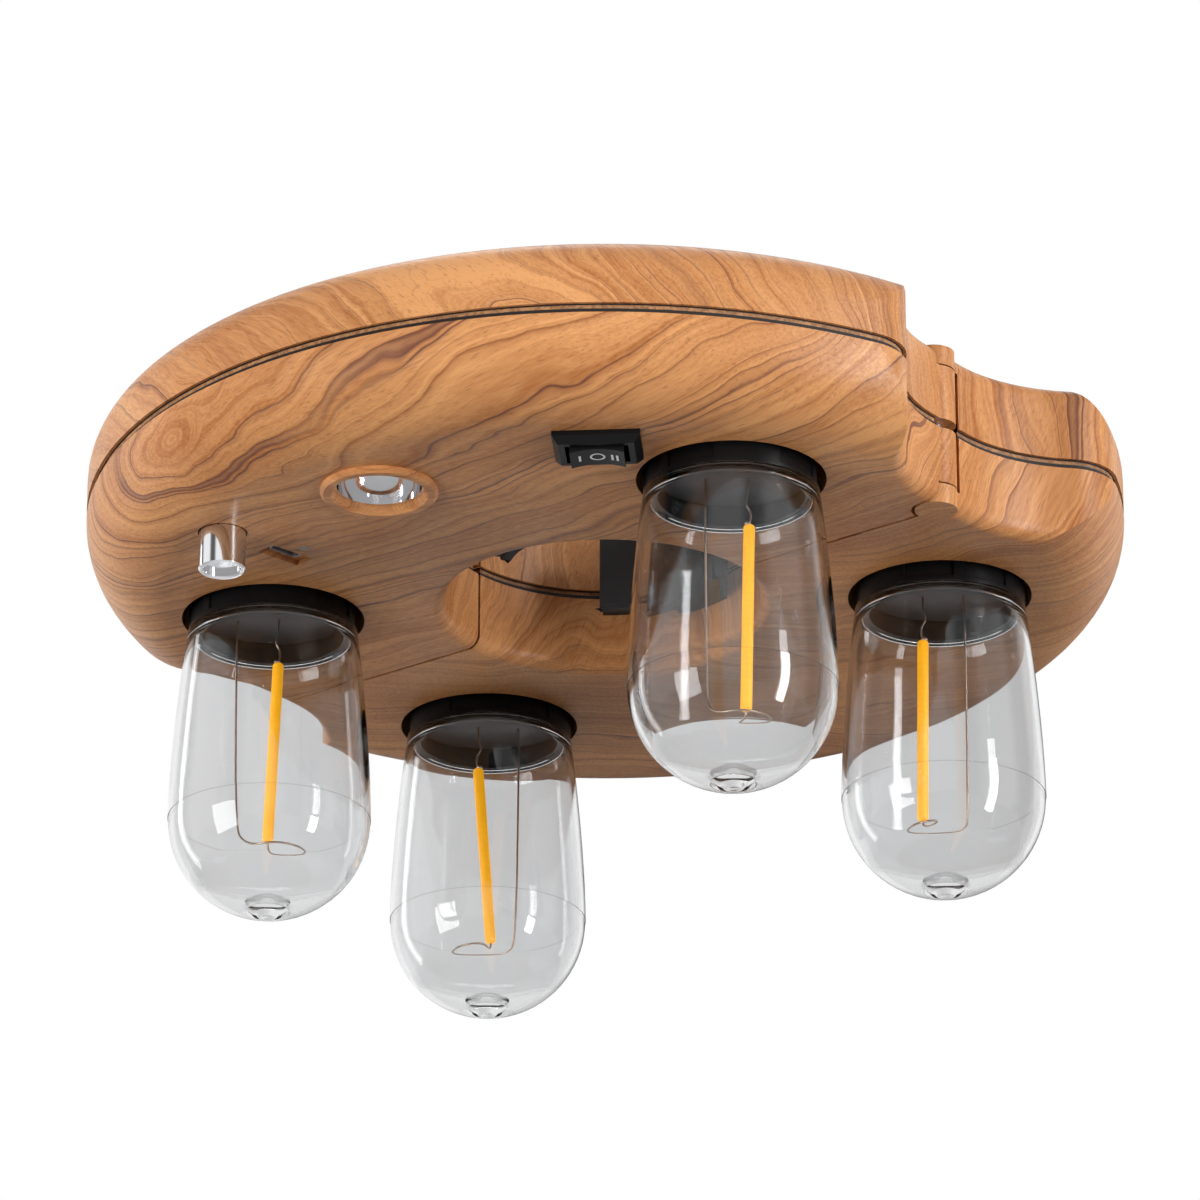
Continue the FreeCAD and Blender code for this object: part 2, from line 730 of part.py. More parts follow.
def bulb_glass():
    """Clear bulb: neck inside the collar, slightly flared wall, round end with a moulded nub."""
    top, line = -collar_drop, -collar_drop - glass_len
    neck_r = collar_r - collar_wall - neck_clear
    neck_top = top + neck_h
    inner_top, inner_r = glass_top_r - glass_wall, glass_r - glass_wall
    neck_in = neck_r - glass_wall
    tip = line - glass_r
    d45 = math.sqrt(0.5)
    edge_z = line - math.sqrt(glass_r ** 2 - dimple_r ** 2)
    inner_tip = line - inner_r
    return turned([(neck_in, neck_top), (neck_r, neck_top), (neck_r, top), (glass_top_r, top),
                   (glass_r, line), ((glass_r * d45, line - glass_r * d45), (dimple_r, edge_z)),
                   (nub_r + nub_flare, edge_z + dimple_sink), (nub_r, tip),
                   (nub_r - nub_edge, tip - nub_proud), (0, tip - nub_proud), (0, inner_tip),
                   ((inner_r * d45, line - inner_r * d45), (inner_r, line)),
                   (inner_top, top - glass_wall), (neck_in, top - glass_wall)])


def bulb_disc(off):
    """Dark disc that closes the neck, with the two holes of the leads."""
    r = collar_r - collar_wall - neck_clear
    low = neck_h - collar_drop
    holes = [cyl(lead_r + lead_clear, low - 1, low + disc_t + 1, x, 0)
             for x in (-off, lead_apart - off)]
    return cyl(r, low, low + disc_t).cut(Part.makeCompound(holes))


def bulb_filament(off, lean):
    """Filament stick, off the bulb's axis and leaning by its own amount in each bulb."""
    top = V(-off, 0, filament_top)
    foot = V(lean - off, 0, filament_top - filament_len)
    return Part.makeCylinder(filament_r, (foot - top).Length, top, foot - top)


def bulb_leads(off, lean):
    """Short kinked lead above the filament and the return wire with its loop below."""
    start = neck_h - collar_drop + disc_t
    top = V(-off, 0, filament_top)
    foot = V(lean - off, 0, filament_top - filament_len)
    kinks = [V(x - off, 0, filament_top + h) for x, h in ((0, 8.0), (1.0, 5.6), (-0.8, 3.0))]
    short = rod([V(-off, 0, start)] + kinks + [top], lead_r, kink_bend)
    ball = Part.makeSphere(solder_r, top + V(solder_r / 2, 0, solder_r / 3))
    ball = ball.cut(bulb_filament(off, lean))
    side = lead_apart - off
    level = foot.z - loop_drop
    ring = [polar(r, a, level) + V(loop_shift, 0, 0) for r, a in
            ((loop_r, 35.0), (loop_r, 95.0), (loop_r, 155.0), (loop_r, 215.0), (loop_r, 275.0))]
    back = rod([V(side, 0, start), V(side, 0, foot.z + loop_rise), *ring,
                foot + V(0, 0, -loop_drop), foot], lead_r, loop_bend)
    return [short, ball, back]


# --- spotlight -----------------------------------------------------------------------------------
def spot_trim():
    """Trim ring with bevelled edges and the spigot that holds the cup."""
    face = -trim_proud
    return turned([(trim_bore_r, face + trim_bevel), (trim_bore_r + trim_bevel, face),
                   (trim_r - trim_edge, face), (trim_r, face + trim_edge), (trim_r, 0),
                   (trim_spigot_r, 0), (trim_spigot_r, wall + cup_seat), (trim_bore_r, wall + cup_seat)])


def cup_profile(swell):
    """The cup's side from mouth to neck in three straight cones, swelled by its wall."""
    rise = cup_top - cup_mouth_z
    return [(cup_neck_r + (cup_mouth_r - cup_neck_r) * width + swell, cup_mouth_z + rise * height)
            for width, height in cup_steps]


def spot_reflector():
    """Bright cup whose flange sits on the trim ring's spigot."""
    seat = wall + cup_seat
    mouth = trim_bore_r - cup_mouth_clear
    inside, outside = cup_profile(0.0), cup_profile(cup_wall)
    return turned(inside + outside[:0:-1]
                  + [(cup_mouth_r + cup_wall, seat + cup_wall), (cup_flange_r, seat + cup_wall),
                     (cup_flange_r, seat), (mouth, seat), (mouth, cup_mouth_z)])


def spot_led():
    """Small board on the cup's neck with the emitter's dome reaching into the cup."""
    board = cyl(spot_board_r, cup_top, cup_top + spot_board_t)
    dome = Part.makeSphere(emitter_r, V(0, 0, cup_top))
    dome = dome.common(cyl(emitter_r + 1, cup_top - emitter_r, cup_top + 0.5))
    return fuse(board, dome)


# --- rocker switch -------------------------------------------------------------------------------
def switch_housing():
    """Snap-in switch body with a bevelled bezel, the rocker's pocket and three terminals."""
    l, w = bezel_l / 2, bezel_w / 2
    plate = box(-l, l, -w, w, -bezel_t, 0)
    face = [e for e in plate.Edges if e.BoundBox.ZMax < -bezel_t + 0.1]
    plate = plate.makeChamfer(bezel_t - bezel_edge, bezel_bevel, face)
    body = box(-switch_body_l / 2, switch_body_l / 2, -switch_body_w / 2, switch_body_w / 2,
               0, switch_body_h)
    barbs = [prism([(s * switch_body_l / 2, -2), (s * (switch_body_l / 2 + 0.8), -2),
                    (s * (switch_body_l / 2 + 0.8), 2), (s * switch_body_l / 2, 2)],
                   wall + 0.2, wall + 3) for s in (-1, 1)]
    blades = [box(x - 0.4, x + 0.4, -2.4, 2.4, switch_body_h, switch_body_h + blade_l)
              for x in (-6, 0, 6)]
    pocket_l, pocket_w = rocker_l / 2 + rocker_end_gap, rocker_w / 2 + rocker_side_gap
    pocket = box(-pocket_l, pocket_l, -pocket_w, pocket_w, -bezel_t - 1,
                 rocker_pivot_z + rocker_l / 2 + 0.6)
    return fuse(plate, body, *barbs, *blades).cut(pocket).cut(rocker_pivots(0.05))


def rocker_pivots(clear):
    half = rocker_w / 2 + rocker_pin_len
    return Part.makeCylinder(rocker_pin_r + clear, 2 * (half + clear),
                             V(0, -half - clear, rocker_pivot_z), V(0, 1, 0))


def rocker():
    """Dished rocker with a round back and two pivot stubs."""
    half = rocker_l / 2
    profile = [(-half, -rocker_face), ((0, -rocker_face + rocker_dish), (half, -rocker_face)),
               (half, rocker_pivot_z), ((0, rocker_pivot_z + half), (-half, rocker_pivot_z))]
    face = Part.Face(wire(profile, lambda x, z: V(x, -rocker_w / 2, z)))
    return fuse(face.extrude(V(0, rocker_w, 0)), rocker_pivots(0.0))


# --- push button, socket and board ---------------------------------------------------------------
def push_button():
    """Bright round button with a rimmed, recessed end and a flange that keeps it in its hole."""
    low, seat = -button_proud, wall + button_seat
    inner = button_r - button_rim
    flange = seat + button_flange_t
    edge = button_edge
    return turned([(0, low + button_recess), (inner, low + button_recess), (inner, low + edge),
                   (inner + edge, low), (button_r - edge, low), (button_r, low + edge),
                   (button_r, seat),
                   (button_flange_r, seat), (button_flange_r, flange), (button_hub_r, flange),
                   (button_hub_r, flange + button_hub_h), (0, flange + button_hub_h)])


def button_spring():
    foot = wall + button_seat + button_flange_t
    spring = coil(button_spring_r, button_spring_wire, button_spring_turns, board_z - foot)
    spring.translate(V(0, 0, foot))
    return spring


def usb_socket():
    """Upright charging socket: thin metal mouth with its tongue, closed above."""
    low, high = usb_recess_d, board_z
    shell = stadium(usb_l, usb_w, low, high)
    hollow = stadium(usb_l - 2 * usb_wall, usb_w - 2 * usb_wall, low - 1, high - 3)
    tongue = box(-usb_tongue_l / 2, usb_tongue_l / 2, -usb_tongue_t / 2, usb_tongue_t / 2,
                 low + 1, high - 2)
    return fuse(shell.cut(hollow), tongue)


def main_board():
    """Circuit board on its four posts, with the tact switch and the larger parts on top."""
    x0, y0 = board_corner()
    x1, y1 = x0 + board_l, y0 + board_w
    top = board_z + board_t
    board = box(x0, x1, y0, y1, board_z, top)
    half = tact_w / 2
    tact = moved(box(-half, half, -half, half, board_z - tact_h, board_z), *button_at)
    pressed = wall + button_seat + button_flange_t + button_hub_h + button_travel
    knob = cyl(tact_knob_r, pressed + tact_gap, board_z - tact_h, *button_at)
    middle = (x0 + x1) / 2, (y0 + y1) / 2
    chip = box(middle[0], middle[0] + chip_w, middle[1] - chip_w / 2, middle[1] + chip_w / 2,
               top, top + chip_h)
    near_x, near_y = x0 + board_inset, y1 - board_inset
    inductor = box(near_x, near_x + chip_w, near_y - chip_w, near_y, top, top + inductor_h)
    far_x, far_y = x1 - board_inset, y0 + board_inset
    header = box(far_x - header_l, far_x, far_y, far_y + header_l, top, top + header_h)
    return fuse(board, tact, knob, chip, inductor, header)


# --- battery -------------------------------------------------------------------------------------
def cell_rows():
    """Distances of the inner and the outer cell's axis from the split."""
    outer = body_r - cell_in
    return outer - cell_pitch, outer


def battery_cells():
    """Two round cells, each with its raised terminal."""
    half = cell_len / 2
    shoulder = half - cell_nose_h
    can = turned([(0, -half), (cell_r - cell_edge, -half), (cell_r, -half + cell_edge),
                  (cell_r, shoulder - cell_edge), (cell_r - cell_edge, shoulder),
                  (cell_nose_r, shoulder), (cell_nose_r, half), (0, half)])
    can.rotate(V(0, 0, 0), V(0, 1, 0), 90)
    can.translate(V(0, 0, wall + tray_t + cell_r))
    return [moved(can, 0, y) for y in cell_rows()]


def battery_tray():
    """Moulded tray with cradled ends and a rib between the cells."""
    z0, z1 = wall, wall + tray_t
    near, far = cell_rows()
    y0, y1 = near - tray_near, far + tray_far
    inner = cell_len / 2 + cell_clear
    outer = inner + tray_wall
    base = box(-outer, outer, y0, y1, z0, z1)
    ends = [box(x, x + tray_wall, y0, y1, z0, z0 + tray_end_h) for x in (-outer, inner)]
    middle = (near + far) / 2
    rib = box(-rib_l / 2, rib_l / 2, middle - rib_t / 2, middle + rib_t / 2,
              z0, z0 + tray_end_h / 2)
    return fuse(base, *ends, rib)


# --- the whole -----------------------------------------------------------------------------------
def main():
    os.makedirs("parts", exist_ok=True)
    lower, upper = half_shells()
    rear_lower, rear_upper = rear_shells(lower, upper)
    front_lower, front_upper = front_shells(lower, upper)
    export("rear_lower_shell", rear_lower)
    export("rear_upper_shell", rear_upper)
    export("front_lower_shell", front_lower)
    export("front_upper_shell", front_upper)
    screws = shell_screws()
    export("rear_shell_screws", *screws)
    export("front_shell_screws", *[to_front(s) for s in screws])
    export("hinge_pin", hinge_pin())
    export("latch_hook", latch_hook())
    export("latch_pin", latch_pin(0.0))

    export("rear_jaw", jaw())
    export("rear_jaw_pad", jaw_pad())
    export("rear_jaw_spring", jaw_spring())
    export("front_jaw", to_front(jaw()))
    export("front_jaw_pad", to_front(jaw_pad()))
    export("front_jaw_spring", to_front(jaw_spring()))

    for number, (x, y) in enumerate(bulb_places, 1):
        name = "bulb_%d_" % number
        turn, off, lean = wire_turns[number - 1], filament_offs[number - 1], leans[number - 1]
        export(name + "collar", moved(bulb_collar(), x, y, turn + collar_turn))
        export(name + "glass", moved(bulb_glass(), x, y))
        export(name + "disc", moved(bulb_disc(off), x, y, turn))
        export(name + "filament", moved(bulb_filament(off, lean), x, y, turn))
        export(name + "leads", *[moved(part, x, y, turn) for part in bulb_leads(off, lean)])

    export("spot_trim_ring", moved(spot_trim(), *spot_at))
    export("spot_reflector", moved(spot_reflector(), *spot_at))
    export("spot_led", moved(spot_led(), *spot_at))
    export("rocker_switch_housing", moved(switch_housing(), *switch_at, switch_turn))
    export("rocker", moved(rocker(), *switch_at, switch_turn))
    export("push_button", moved(push_button(), *button_at))
    export("push_button_spring", moved(button_spring(), *button_at))
    export("usb_socket", moved(usb_socket(), *usb_at, usb_turn))
    export("charge_light_pipe", cyl(lamp_r, lamp_sink, board_z, *lamp_at))
    export("main_board", main_board())
    export("battery_tray", battery_tray())
    export("battery_cells", *battery_cells())


main()
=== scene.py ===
"""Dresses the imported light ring: wood-look housing, clear filament bulbs, spotlight and switches.

Metres, in the frame's own axes: +Z up along the pole, the hinge at +X, the controls towards -Y.
"""

import math

import bmesh
import bpy
from bpy.props import FloatProperty, FloatVectorProperty, PointerProperty
from mathutils import Matrix, Vector


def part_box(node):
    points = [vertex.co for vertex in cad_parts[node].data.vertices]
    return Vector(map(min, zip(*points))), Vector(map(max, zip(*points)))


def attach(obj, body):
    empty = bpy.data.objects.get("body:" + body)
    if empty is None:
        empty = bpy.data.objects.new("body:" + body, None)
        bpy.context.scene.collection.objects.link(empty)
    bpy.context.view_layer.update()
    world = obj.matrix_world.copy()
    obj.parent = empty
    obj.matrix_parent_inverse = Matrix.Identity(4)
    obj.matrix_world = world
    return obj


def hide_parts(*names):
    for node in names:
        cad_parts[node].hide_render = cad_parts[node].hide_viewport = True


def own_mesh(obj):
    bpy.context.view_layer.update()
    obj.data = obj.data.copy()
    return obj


bl_info = {
    "name": "Umbrella Light Dressing",
    "version": (1, 0, 0),
    "blender": (4, 5, 0),
    "location": "3D View > Sidebar > Umbrella Light",
    "description": "Makes the finishes and the fine pieces of a wood-look umbrella pole light",
    "category": "Object",
}

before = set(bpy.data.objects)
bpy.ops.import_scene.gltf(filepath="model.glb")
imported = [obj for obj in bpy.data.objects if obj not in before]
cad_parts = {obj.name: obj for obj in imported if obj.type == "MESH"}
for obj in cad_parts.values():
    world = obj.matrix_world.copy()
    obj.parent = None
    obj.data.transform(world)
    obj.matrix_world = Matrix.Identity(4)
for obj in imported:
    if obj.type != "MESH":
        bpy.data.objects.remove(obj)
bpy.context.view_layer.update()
MM = 0.001


def corners(node):
    """Lowest and highest corner of a node, as the frame holds it."""
    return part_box(node)


def middle(node):
    low, high = corners(node)
    return (low + high) / 2


UNDERSIDE = corners("front_lower_shell")[0].z
REVEAL_FOOT = UNDERSIDE + 19.8 * MM
REVEAL_HEAD = REVEAL_FOOT + 2.5 * MM
BULBS = (1, 2, 3, 4)
BULB_BODY = {1: "front_half", 2: "rear_half", 3: "front_half", 4: "rear_half"}

# In each bulb: the direction of the return wire, how far the filament's top stands off the axis the
# other way, and how far its foot leans towards the wire.
WIRE_TURN = {1: 217.0, 2: 37.0, 3: 217.0, 4: 37.0}
FILAMENT_OFF = {1: 1.5 * MM, 2: 2.8 * MM, 3: 4.2 * MM, 4: 4.4 * MM}
FILAMENT_LEAN = {1: 1.8 * MM, 2: 3.6 * MM, 3: 1.1 * MM, 4: -0.9 * MM}
FILAMENT_R = 1.4 * MM
FILAMENT_ROUND = 1.0 * MM
WIRE_APART = 10.5 * MM
LOOP_R = 8.5 * MM
LOOP_SHIFT = -1.5 * MM
LOOP_HANG = 2.6 * MM
LOOP_ANGLES = (35.0, 95.0, 155.0, 215.0, 275.0)
SOLDER_R = 0.75 * MM

FLARE = 3.8 * MM             # how much wider a bulb is at its mould line than at its shoulder
NECK_INSET = 2.1 * MM        # step in from the shoulder to the neck
MOULD_STEP = 0.15 * MM       # fine step at the mould line
FLOOR_SAG = 0.24             # depth of the inner floor as a share of the bulb's radius

SPOT_MOUTH_R = 10.3 * MM
SPOT_WALL = 0.7 * MM
SWITCH_TURN = 33.0
ROCKER_HALF = 6.45 * MM
ROCKER_DISH = 1.0 * MM


# --- sizes and colours that a user would change --------------------------------------------------
class LightSizes(bpy.types.PropertyGroup):
    """Sizes of the pieces that are modelled here."""

    glass_wall: FloatProperty(
        name="Bulb wall", description="Wall of the clear bulbs", default=1.3 * MM,
        unit="LENGTH", subtype="DISTANCE")
    floor_share: FloatProperty(
        name="Bulb floor", description="Rim of the bulb's inner floor as a share of its radius",
        default=0.72, subtype="FACTOR")
    wire_radius: FloatProperty(
        name="Lead radius", description="Radius of the bare lead wires", default=0.27 * MM,
        unit="LENGTH", subtype="DISTANCE")
    grain_pitch: FloatProperty(
        name="Grain pitch", description="Mean distance between two printed grain lines",
        default=5.0 * MM, unit="LENGTH", subtype="DISTANCE")
    lamp_neck: FloatProperty(
        name="Reflector neck", description="Radius of the spotlight reflector's neck",
        default=1.9 * MM, unit="LENGTH", subtype="DISTANCE")


class LightColours(bpy.types.PropertyGroup):
    """Colours of the finishes."""

    wood_pale: FloatVectorProperty(
        name="Pale wood", description="Lightest tone of the printed wood",
        default=(0.72, 0.345, 0.135), size=3, subtype="COLOR")
    wood_warm: FloatVectorProperty(
        name="Warm wood", description="Deeper tone of the printed wood",
        default=(0.38, 0.13, 0.036), size=3, subtype="COLOR")
    wood_line: FloatVectorProperty(
        name="Grain line", description="Dark lines of the printed wood",
        default=(0.115, 0.036, 0.030), size=3, subtype="COLOR")
    black: FloatVectorProperty(
        name="Black plastic", description="Collars, switch and jaws",
        default=(0.005, 0.005, 0.0055), size=3, subtype="COLOR")
    amber: FloatVectorProperty(
        name="Amber coat", description="Coating of the filament sticks",
        default=(0.94, 0.40, 0.006), size=3, subtype="COLOR")


def sizes():
    return bpy.context.scene.umbrella_light_sizes


def colours():
    return bpy.context.scene.umbrella_light_colours


# --- materials -----------------------------------------------------------------------------------
class Finish:
    """A material with its node tree, and short calls for nodes, sums and links."""

    def __init__(self, name):
        self.material = bpy.data.materials.new(name)
        self.material.use_nodes = True
        self.nodes = self.material.node_tree.nodes
        self.links = self.material.node_tree.links
        self.shader = self.nodes["Principled BSDF"]

    def feed(self, socket, value):
        if isinstance(value, bpy.types.NodeSocket):
            self.links.new(value, socket)
        else:
            socket.default_value = value

    def node(self, kind, sockets=None, **settings):
        node = self.nodes.new("ShaderNode" + kind)
        for name, value in settings.items():
            setattr(node, name, value)
        for name, value in (sockets or {}).items():
            self.feed(node.inputs[name], value)
        return node

    def sum(self, operation, first, second=0.0):
        node = self.node("Math", operation=operation)
        self.feed(node.inputs[0], first)
        self.feed(node.inputs[1], second)
        return node.outputs[0]

    def vector(self, x, y, z):
        return self.node("CombineXYZ", {"X": x, "Y": y, "Z": z}).outputs[0]

    def along(self, place, direction):
        node = self.node("VectorMath", operation="DOT_PRODUCT")
        self.feed(node.inputs[0], place)
        node.inputs[1].default_value = direction
        return node.outputs["Value"]

    def noise(self, place, scale=1.0, detail=2.0, roughness=0.5, distortion=0.0):
        return self.node("TexNoise", {"Vector": place, "Scale": scale, "Detail": detail,
                                      "Roughness": roughness, "Distortion": distortion}
                         ).outputs["Fac"]

    def noise_1d(self, value, scale, shift, detail=1.0, roughness=0.5):
        """Noise along one value, so that it runs in bands wherever the value is even."""
        place = self.sum("ADD", self.sum("MULTIPLY", value, scale), shift)
        return self.node("TexNoise", {"W": place, "Scale": 1.0, "Detail": detail,
                                      "Roughness": roughness}, noise_dimensions="1D"
                         ).outputs["Fac"]

    def ramp(self, value, *stops):
        node = self.node("ValToRGB", {"Fac": value})
        band = node.color_ramp
        while len(band.elements) < len(stops):
            band.elements.new(0.5)
        for element, (place, level) in zip(band.elements, stops):
            element.position = place
            element.color = (level, level, level, 1.0)
        return node.outputs["Color"]

    def mix(self, factor, first, second, blend="MIX"):
        node = self.node("Mix", data_type="RGBA", blend_type=blend)
        self.feed(node.inputs["Factor"], factor)
        for socket, value in ((node.inputs[6], first), (node.inputs[7], second)):
            if not isinstance(value, bpy.types.NodeSocket):
                value = (*value, 1.0)
            self.feed(socket, value)
        return node.outputs[2]

    def object_place(self):
        return self.node("TexCoord").outputs["Object"]

    def bump(self, height, strength, distance):
        node = self.node("Bump", {"Height": height, "Strength": strength, "Distance": distance})
        self.feed(self.shader.inputs["Normal"], node.outputs["Normal"])

    def set(self, **values):
        for name, value in values.items():
            self.shader.inputs[name.replace("_", " ")].default_value = value
        return self

    def colour(self, value):
        self.feed(self.shader.inputs["Base Color"], value)

    def roughness(self, value):
        self.feed(self.shader.inputs["Roughness"], value)


def speckled(name, tone, spread, scale, rough, rough_spread=0.08, bump=0.0, metallic=0.0,
             specular=0.5):
    """A moulded or plated finish: fine uneven tone, gloss and relief."""
    f = Finish(name)
    place = f.object_place()
    fine = f.noise(place, scale, 4.0, 0.6)
    broad = f.noise(place, scale * 0.06, 2.0)
    mixed = f.sum("ADD", f.sum("MULTIPLY", broad, 0.5), f.sum("MULTIPLY", fine, 0.5))
    dark = tuple(max(0.0, c * (1 - spread)) for c in tone)
    light = tuple(min(1.0, c * (1 + spread)) for c in tone)
    f.colour(f.mix(mixed, dark, light))
    gloss = f.node("MapRange", {"Value": mixed, "From Min": 0.3, "From Max": 0.7,
                                "To Min": rough - rough_spread, "To Max": rough + rough_spread})
    f.roughness(gloss.outputs["Result"])
    if bump:
        f.bump(fine, 0.4, bump)
    f.set(Metallic=metallic, Specular_IOR_Level=specular)
    return f.material


# Where the printed sheet's rings centre on each shell, in millimetres, how its grain runs, and its
# place in the noise.
WOOD_SHEETS = {
    "wood_front_lower": ((-17.0, -119.0, -3.0), (0.93, 0.15, 0.25), 1.0),
    "wood_front_upper": ((52.0, -104.0, -8.0), (0.80, -0.10, -0.55), 2.3),
    "wood_rear_lower": ((125.0, -160.0, 0.0), (0.25, 0.30, 0.92), 3.7),
    "wood_rear_upper": ((112.0, -150.0, 0.0), (0.35, 0.12, 0.93), 5.1),
    "wood_fitting": ((60.0, -160.0, 30.0), (0.80, 0.55, 0.20), 7.9),
}


def wood_sheet(name):
    """Printed wood: dark rings about a slanting heart line, streaks along them, fibre and pores."""
    heart, grain, seed = WOOD_SHEETS[name]
    c, pitch = colours(), sizes().grain_pitch
    grain = Vector(grain).normalized()
    f = Finish(name)
    place = f.object_place()
    out = f.node("VectorMath", operation="SUBTRACT")
    f.feed(out.inputs[0], place)
    out.inputs[1].default_value = [MM * x for x in heart]
    turned = f.node("VectorMath", operation="CROSS_PRODUCT")
    f.feed(turned.inputs[0], out.outputs[0])
    turned.inputs[1].default_value = grain
    reach = f.node("VectorMath", operation="LENGTH")
    f.feed(reach.inputs[0], turned.outputs[0])
    reach = reach.outputs["Value"]

    side = grain.orthogonal().normalized()
    other = grain.cross(side)
    along, across, through = (f.along(place, direction) for direction in (grain, side, other))

    def stretched(length, width, shift=0.0):
        """Coordinates whose features are so long and so wide, in metres."""
        return f.vector(f.sum("ADD", f.sum("DIVIDE", along, length), seed + shift),
                        f.sum("DIVIDE", across, width), f.sum("DIVIDE", through, width))

    def swing(level, amount):
        return f.sum("MULTIPLY", f.sum("SUBTRACT", level, 0.5), amount)

    def drift(length, width, shift, amount, detail=1.0):
        return swing(f.noise(stretched(length, width, shift), 1.0, detail, 0.45), amount)

    flow = f.sum("ADD", f.sum("DIVIDE", reach, pitch), drift(0.11, 0.055, 0.0, 5.5))
    flow = f.sum("ADD", flow, drift(0.034, 0.022, 4.0, 2.2, 2.0))
    flow = f.sum("ADD", flow, drift(0.009, 0.006, 8.0, 0.22, 2.0))
    flow = f.sum("ADD", flow, swing(f.noise_1d(flow, 0.7, seed), 2.6))
    ring, count = f.sum("FRACT", flow), f.sum("FLOOR", flow)
    chance = f.node("TexWhiteNoise", {"W": count}, noise_dimensions="1D").outputs["Value"]
    fade = f.noise(stretched(0.05, 0.03, 12.0), 1.0, 2.0)

    line = f.ramp(ring, (0.0, 1.0), (0.04, 0.80), (0.08, 0.28), (0.35, 0.05), (0.97, 0.0),
                  (1.0, 0.9))
    strength = f.sum("MULTIPLY", f.ramp(chance, (0.15, 0.18), (0.75, 1.0)),
                     f.ramp(fade, (0.36, 0.25), (0.54, 1.0)))
    line = f.sum("MULTIPLY", line, strength)

    bands = f.noise_1d(flow, 1.9, seed + 3.0, 2.0)
    streaks = f.noise_1d(flow, 9.0, seed + 7.0, 4.0, 0.75)
    blotch = f.noise(stretched(0.06, 0.03, 16.0), 1.0, 3.0)
    fibre = f.noise(stretched(0.008, 0.0007), 1.0, 3.0, 0.65)
    pores = f.ramp(f.noise(stretched(0.005, 0.0005, 30.0), 1.0, 1.0), (0.60, 0.0), (0.72, 1.0))
    patch = f.ramp(f.noise(stretched(0.05, 0.02, 20.0), 1.0, 2.0), (0.42, 0.25), (0.60, 1.0))

    depth = f.sum("ADD", 0.42, swing(bands, 1.2))
    depth = f.sum("ADD", depth, swing(blotch, 1.2))
    depth = f.sum("ADD", depth, f.sum("MULTIPLY", swing(streaks, 1.9), patch))
    depth = f.sum("ADD", depth, swing(fibre, 0.9))
    body = f.mix(depth, tuple(c.wood_pale), tuple(c.wood_warm))
    hair = f.sum("MULTIPLY", f.ramp(streaks, (0.30, 1.0), (0.42, 0.0)), patch)
    body = f.mix(f.sum("MULTIPLY", hair, 0.38), body, tuple(c.wood_line))
    body = f.mix(f.sum("MULTIPLY", pores, 0.30), body, tuple(c.wood_line))
    f.colour(f.mix(f.sum("MULTIPLY", line, 0.90), body, tuple(c.wood_line)))
    gloss = f.node("MapRange", {"Value": fibre, "From Min": 0.3, "From Max": 0.7,
                                "To Min": 0.30, "To Max": 0.46})
    f.roughness(gloss.outputs["Result"])
    relief = f.sum("SUBTRACT", f.sum("MULTIPLY", fibre, 0.6), f.sum("MULTIPLY", line, 0.6))
    f.bump(relief, 0.45, 0.0002)
    f.set(Specular_IOR_Level=0.28)
    return f.material


def raw_tongue_with_gap_shade():
    """Unprinted pale plastic of the tongue behind the reveal, with the print's speckled run-in, and
    painted shade at the reveal's foot and head.
    """
    f = Finish("raw_wood_tongue_with_gap_shade")
    place = f.object_place()
    grit = f.noise(place, 900.0, 4.0, 0.7)
    stain = f.noise(place, 120.0, 3.0)
    tone = f.mix(f.ramp(grit, (0.40, 0.0), (0.62, 1.0)), (0.24, 0.115, 0.05), (0.50, 0.26, 0.12))
    tone = f.mix(f.ramp(stain, (0.45, 0.0), (0.7, 0.6)), tone, (0.15, 0.075, 0.040))
    height = f.node("SeparateXYZ", {"Vector": place}).outputs["Z"]
    share = f.node("MapRange", {"Value": height, "From Min": REVEAL_FOOT,
                                "From Max": REVEAL_HEAD}).outputs["Result"]
    # Near-black at the foot and the head of the band: painted shade in the gaps above and below the
    # tongue.
    edge = f.ramp(share, (0.0, 1.0), (0.50, 1.0), (0.57, 0.0), (0.84, 0.0), (0.90, 1.0))
    f.colour(f.mix(edge, tone, (0.012, 0.008, 0.007)))
    f.set(Roughness=0.7)
    f.bump(grit, 0.5, 0.0002)
    return f.material


def clear_plastic():
    """Clear moulded plastic with faint flow marks."""
    f = Finish("clear_plastic")
    place = f.object_place()
    flow = f.noise(place, 35.0, 2.0)
    f.bump(flow, 0.10, 0.0006)
    f.set(Roughness=0.015, IOR=1.46)
    f.shader.inputs["Transmission Weight"].default_value = 1.0
    f.shader.inputs["Base Color"].default_value = (0.86, 0.865, 0.87, 1.0)
    return f.material


def black_plastic():
    return speckled("black_plastic", tuple(colours().black), 0.35, 900.0, 0.34, 0.07, 0.00004,
                    specular=0.16)


def disc_plastic():
    return speckled("disc_plastic", (0.035, 0.035, 0.037), 0.2, 500.0, 0.42, 0.06)


def grip_rubber():
    return speckled("grip_rubber", (0.022, 0.022, 0.023), 0.3, 1200.0, 0.78, 0.08, 0.0001)


def bright_chrome():
    """Polished plating with faint handling marks."""
    f = Finish("bright_chrome")
    place = f.object_place()
    smear = f.noise(place, 140.0, 3.0)
    f.colour(f.mix(smear, (0.78, 0.78, 0.80), (0.86, 0.86, 0.875)))
    gloss = f.node("MapRange", {"Value": smear, "To Min": 0.03, "To Max": 0.12})
    f.roughness(gloss.outputs["Result"])
    f.set(Metallic=1.0)
    return f.material


def steel():
    return speckled("plated_steel", (0.55, 0.55, 0.56), 0.12, 600.0, 0.30, 0.08, metallic=1.0)


def lead_wire():
    return speckled("lead_wire", (0.40, 0.30, 0.23), 0.2, 1500.0, 0.34, 0.08, metallic=1.0)


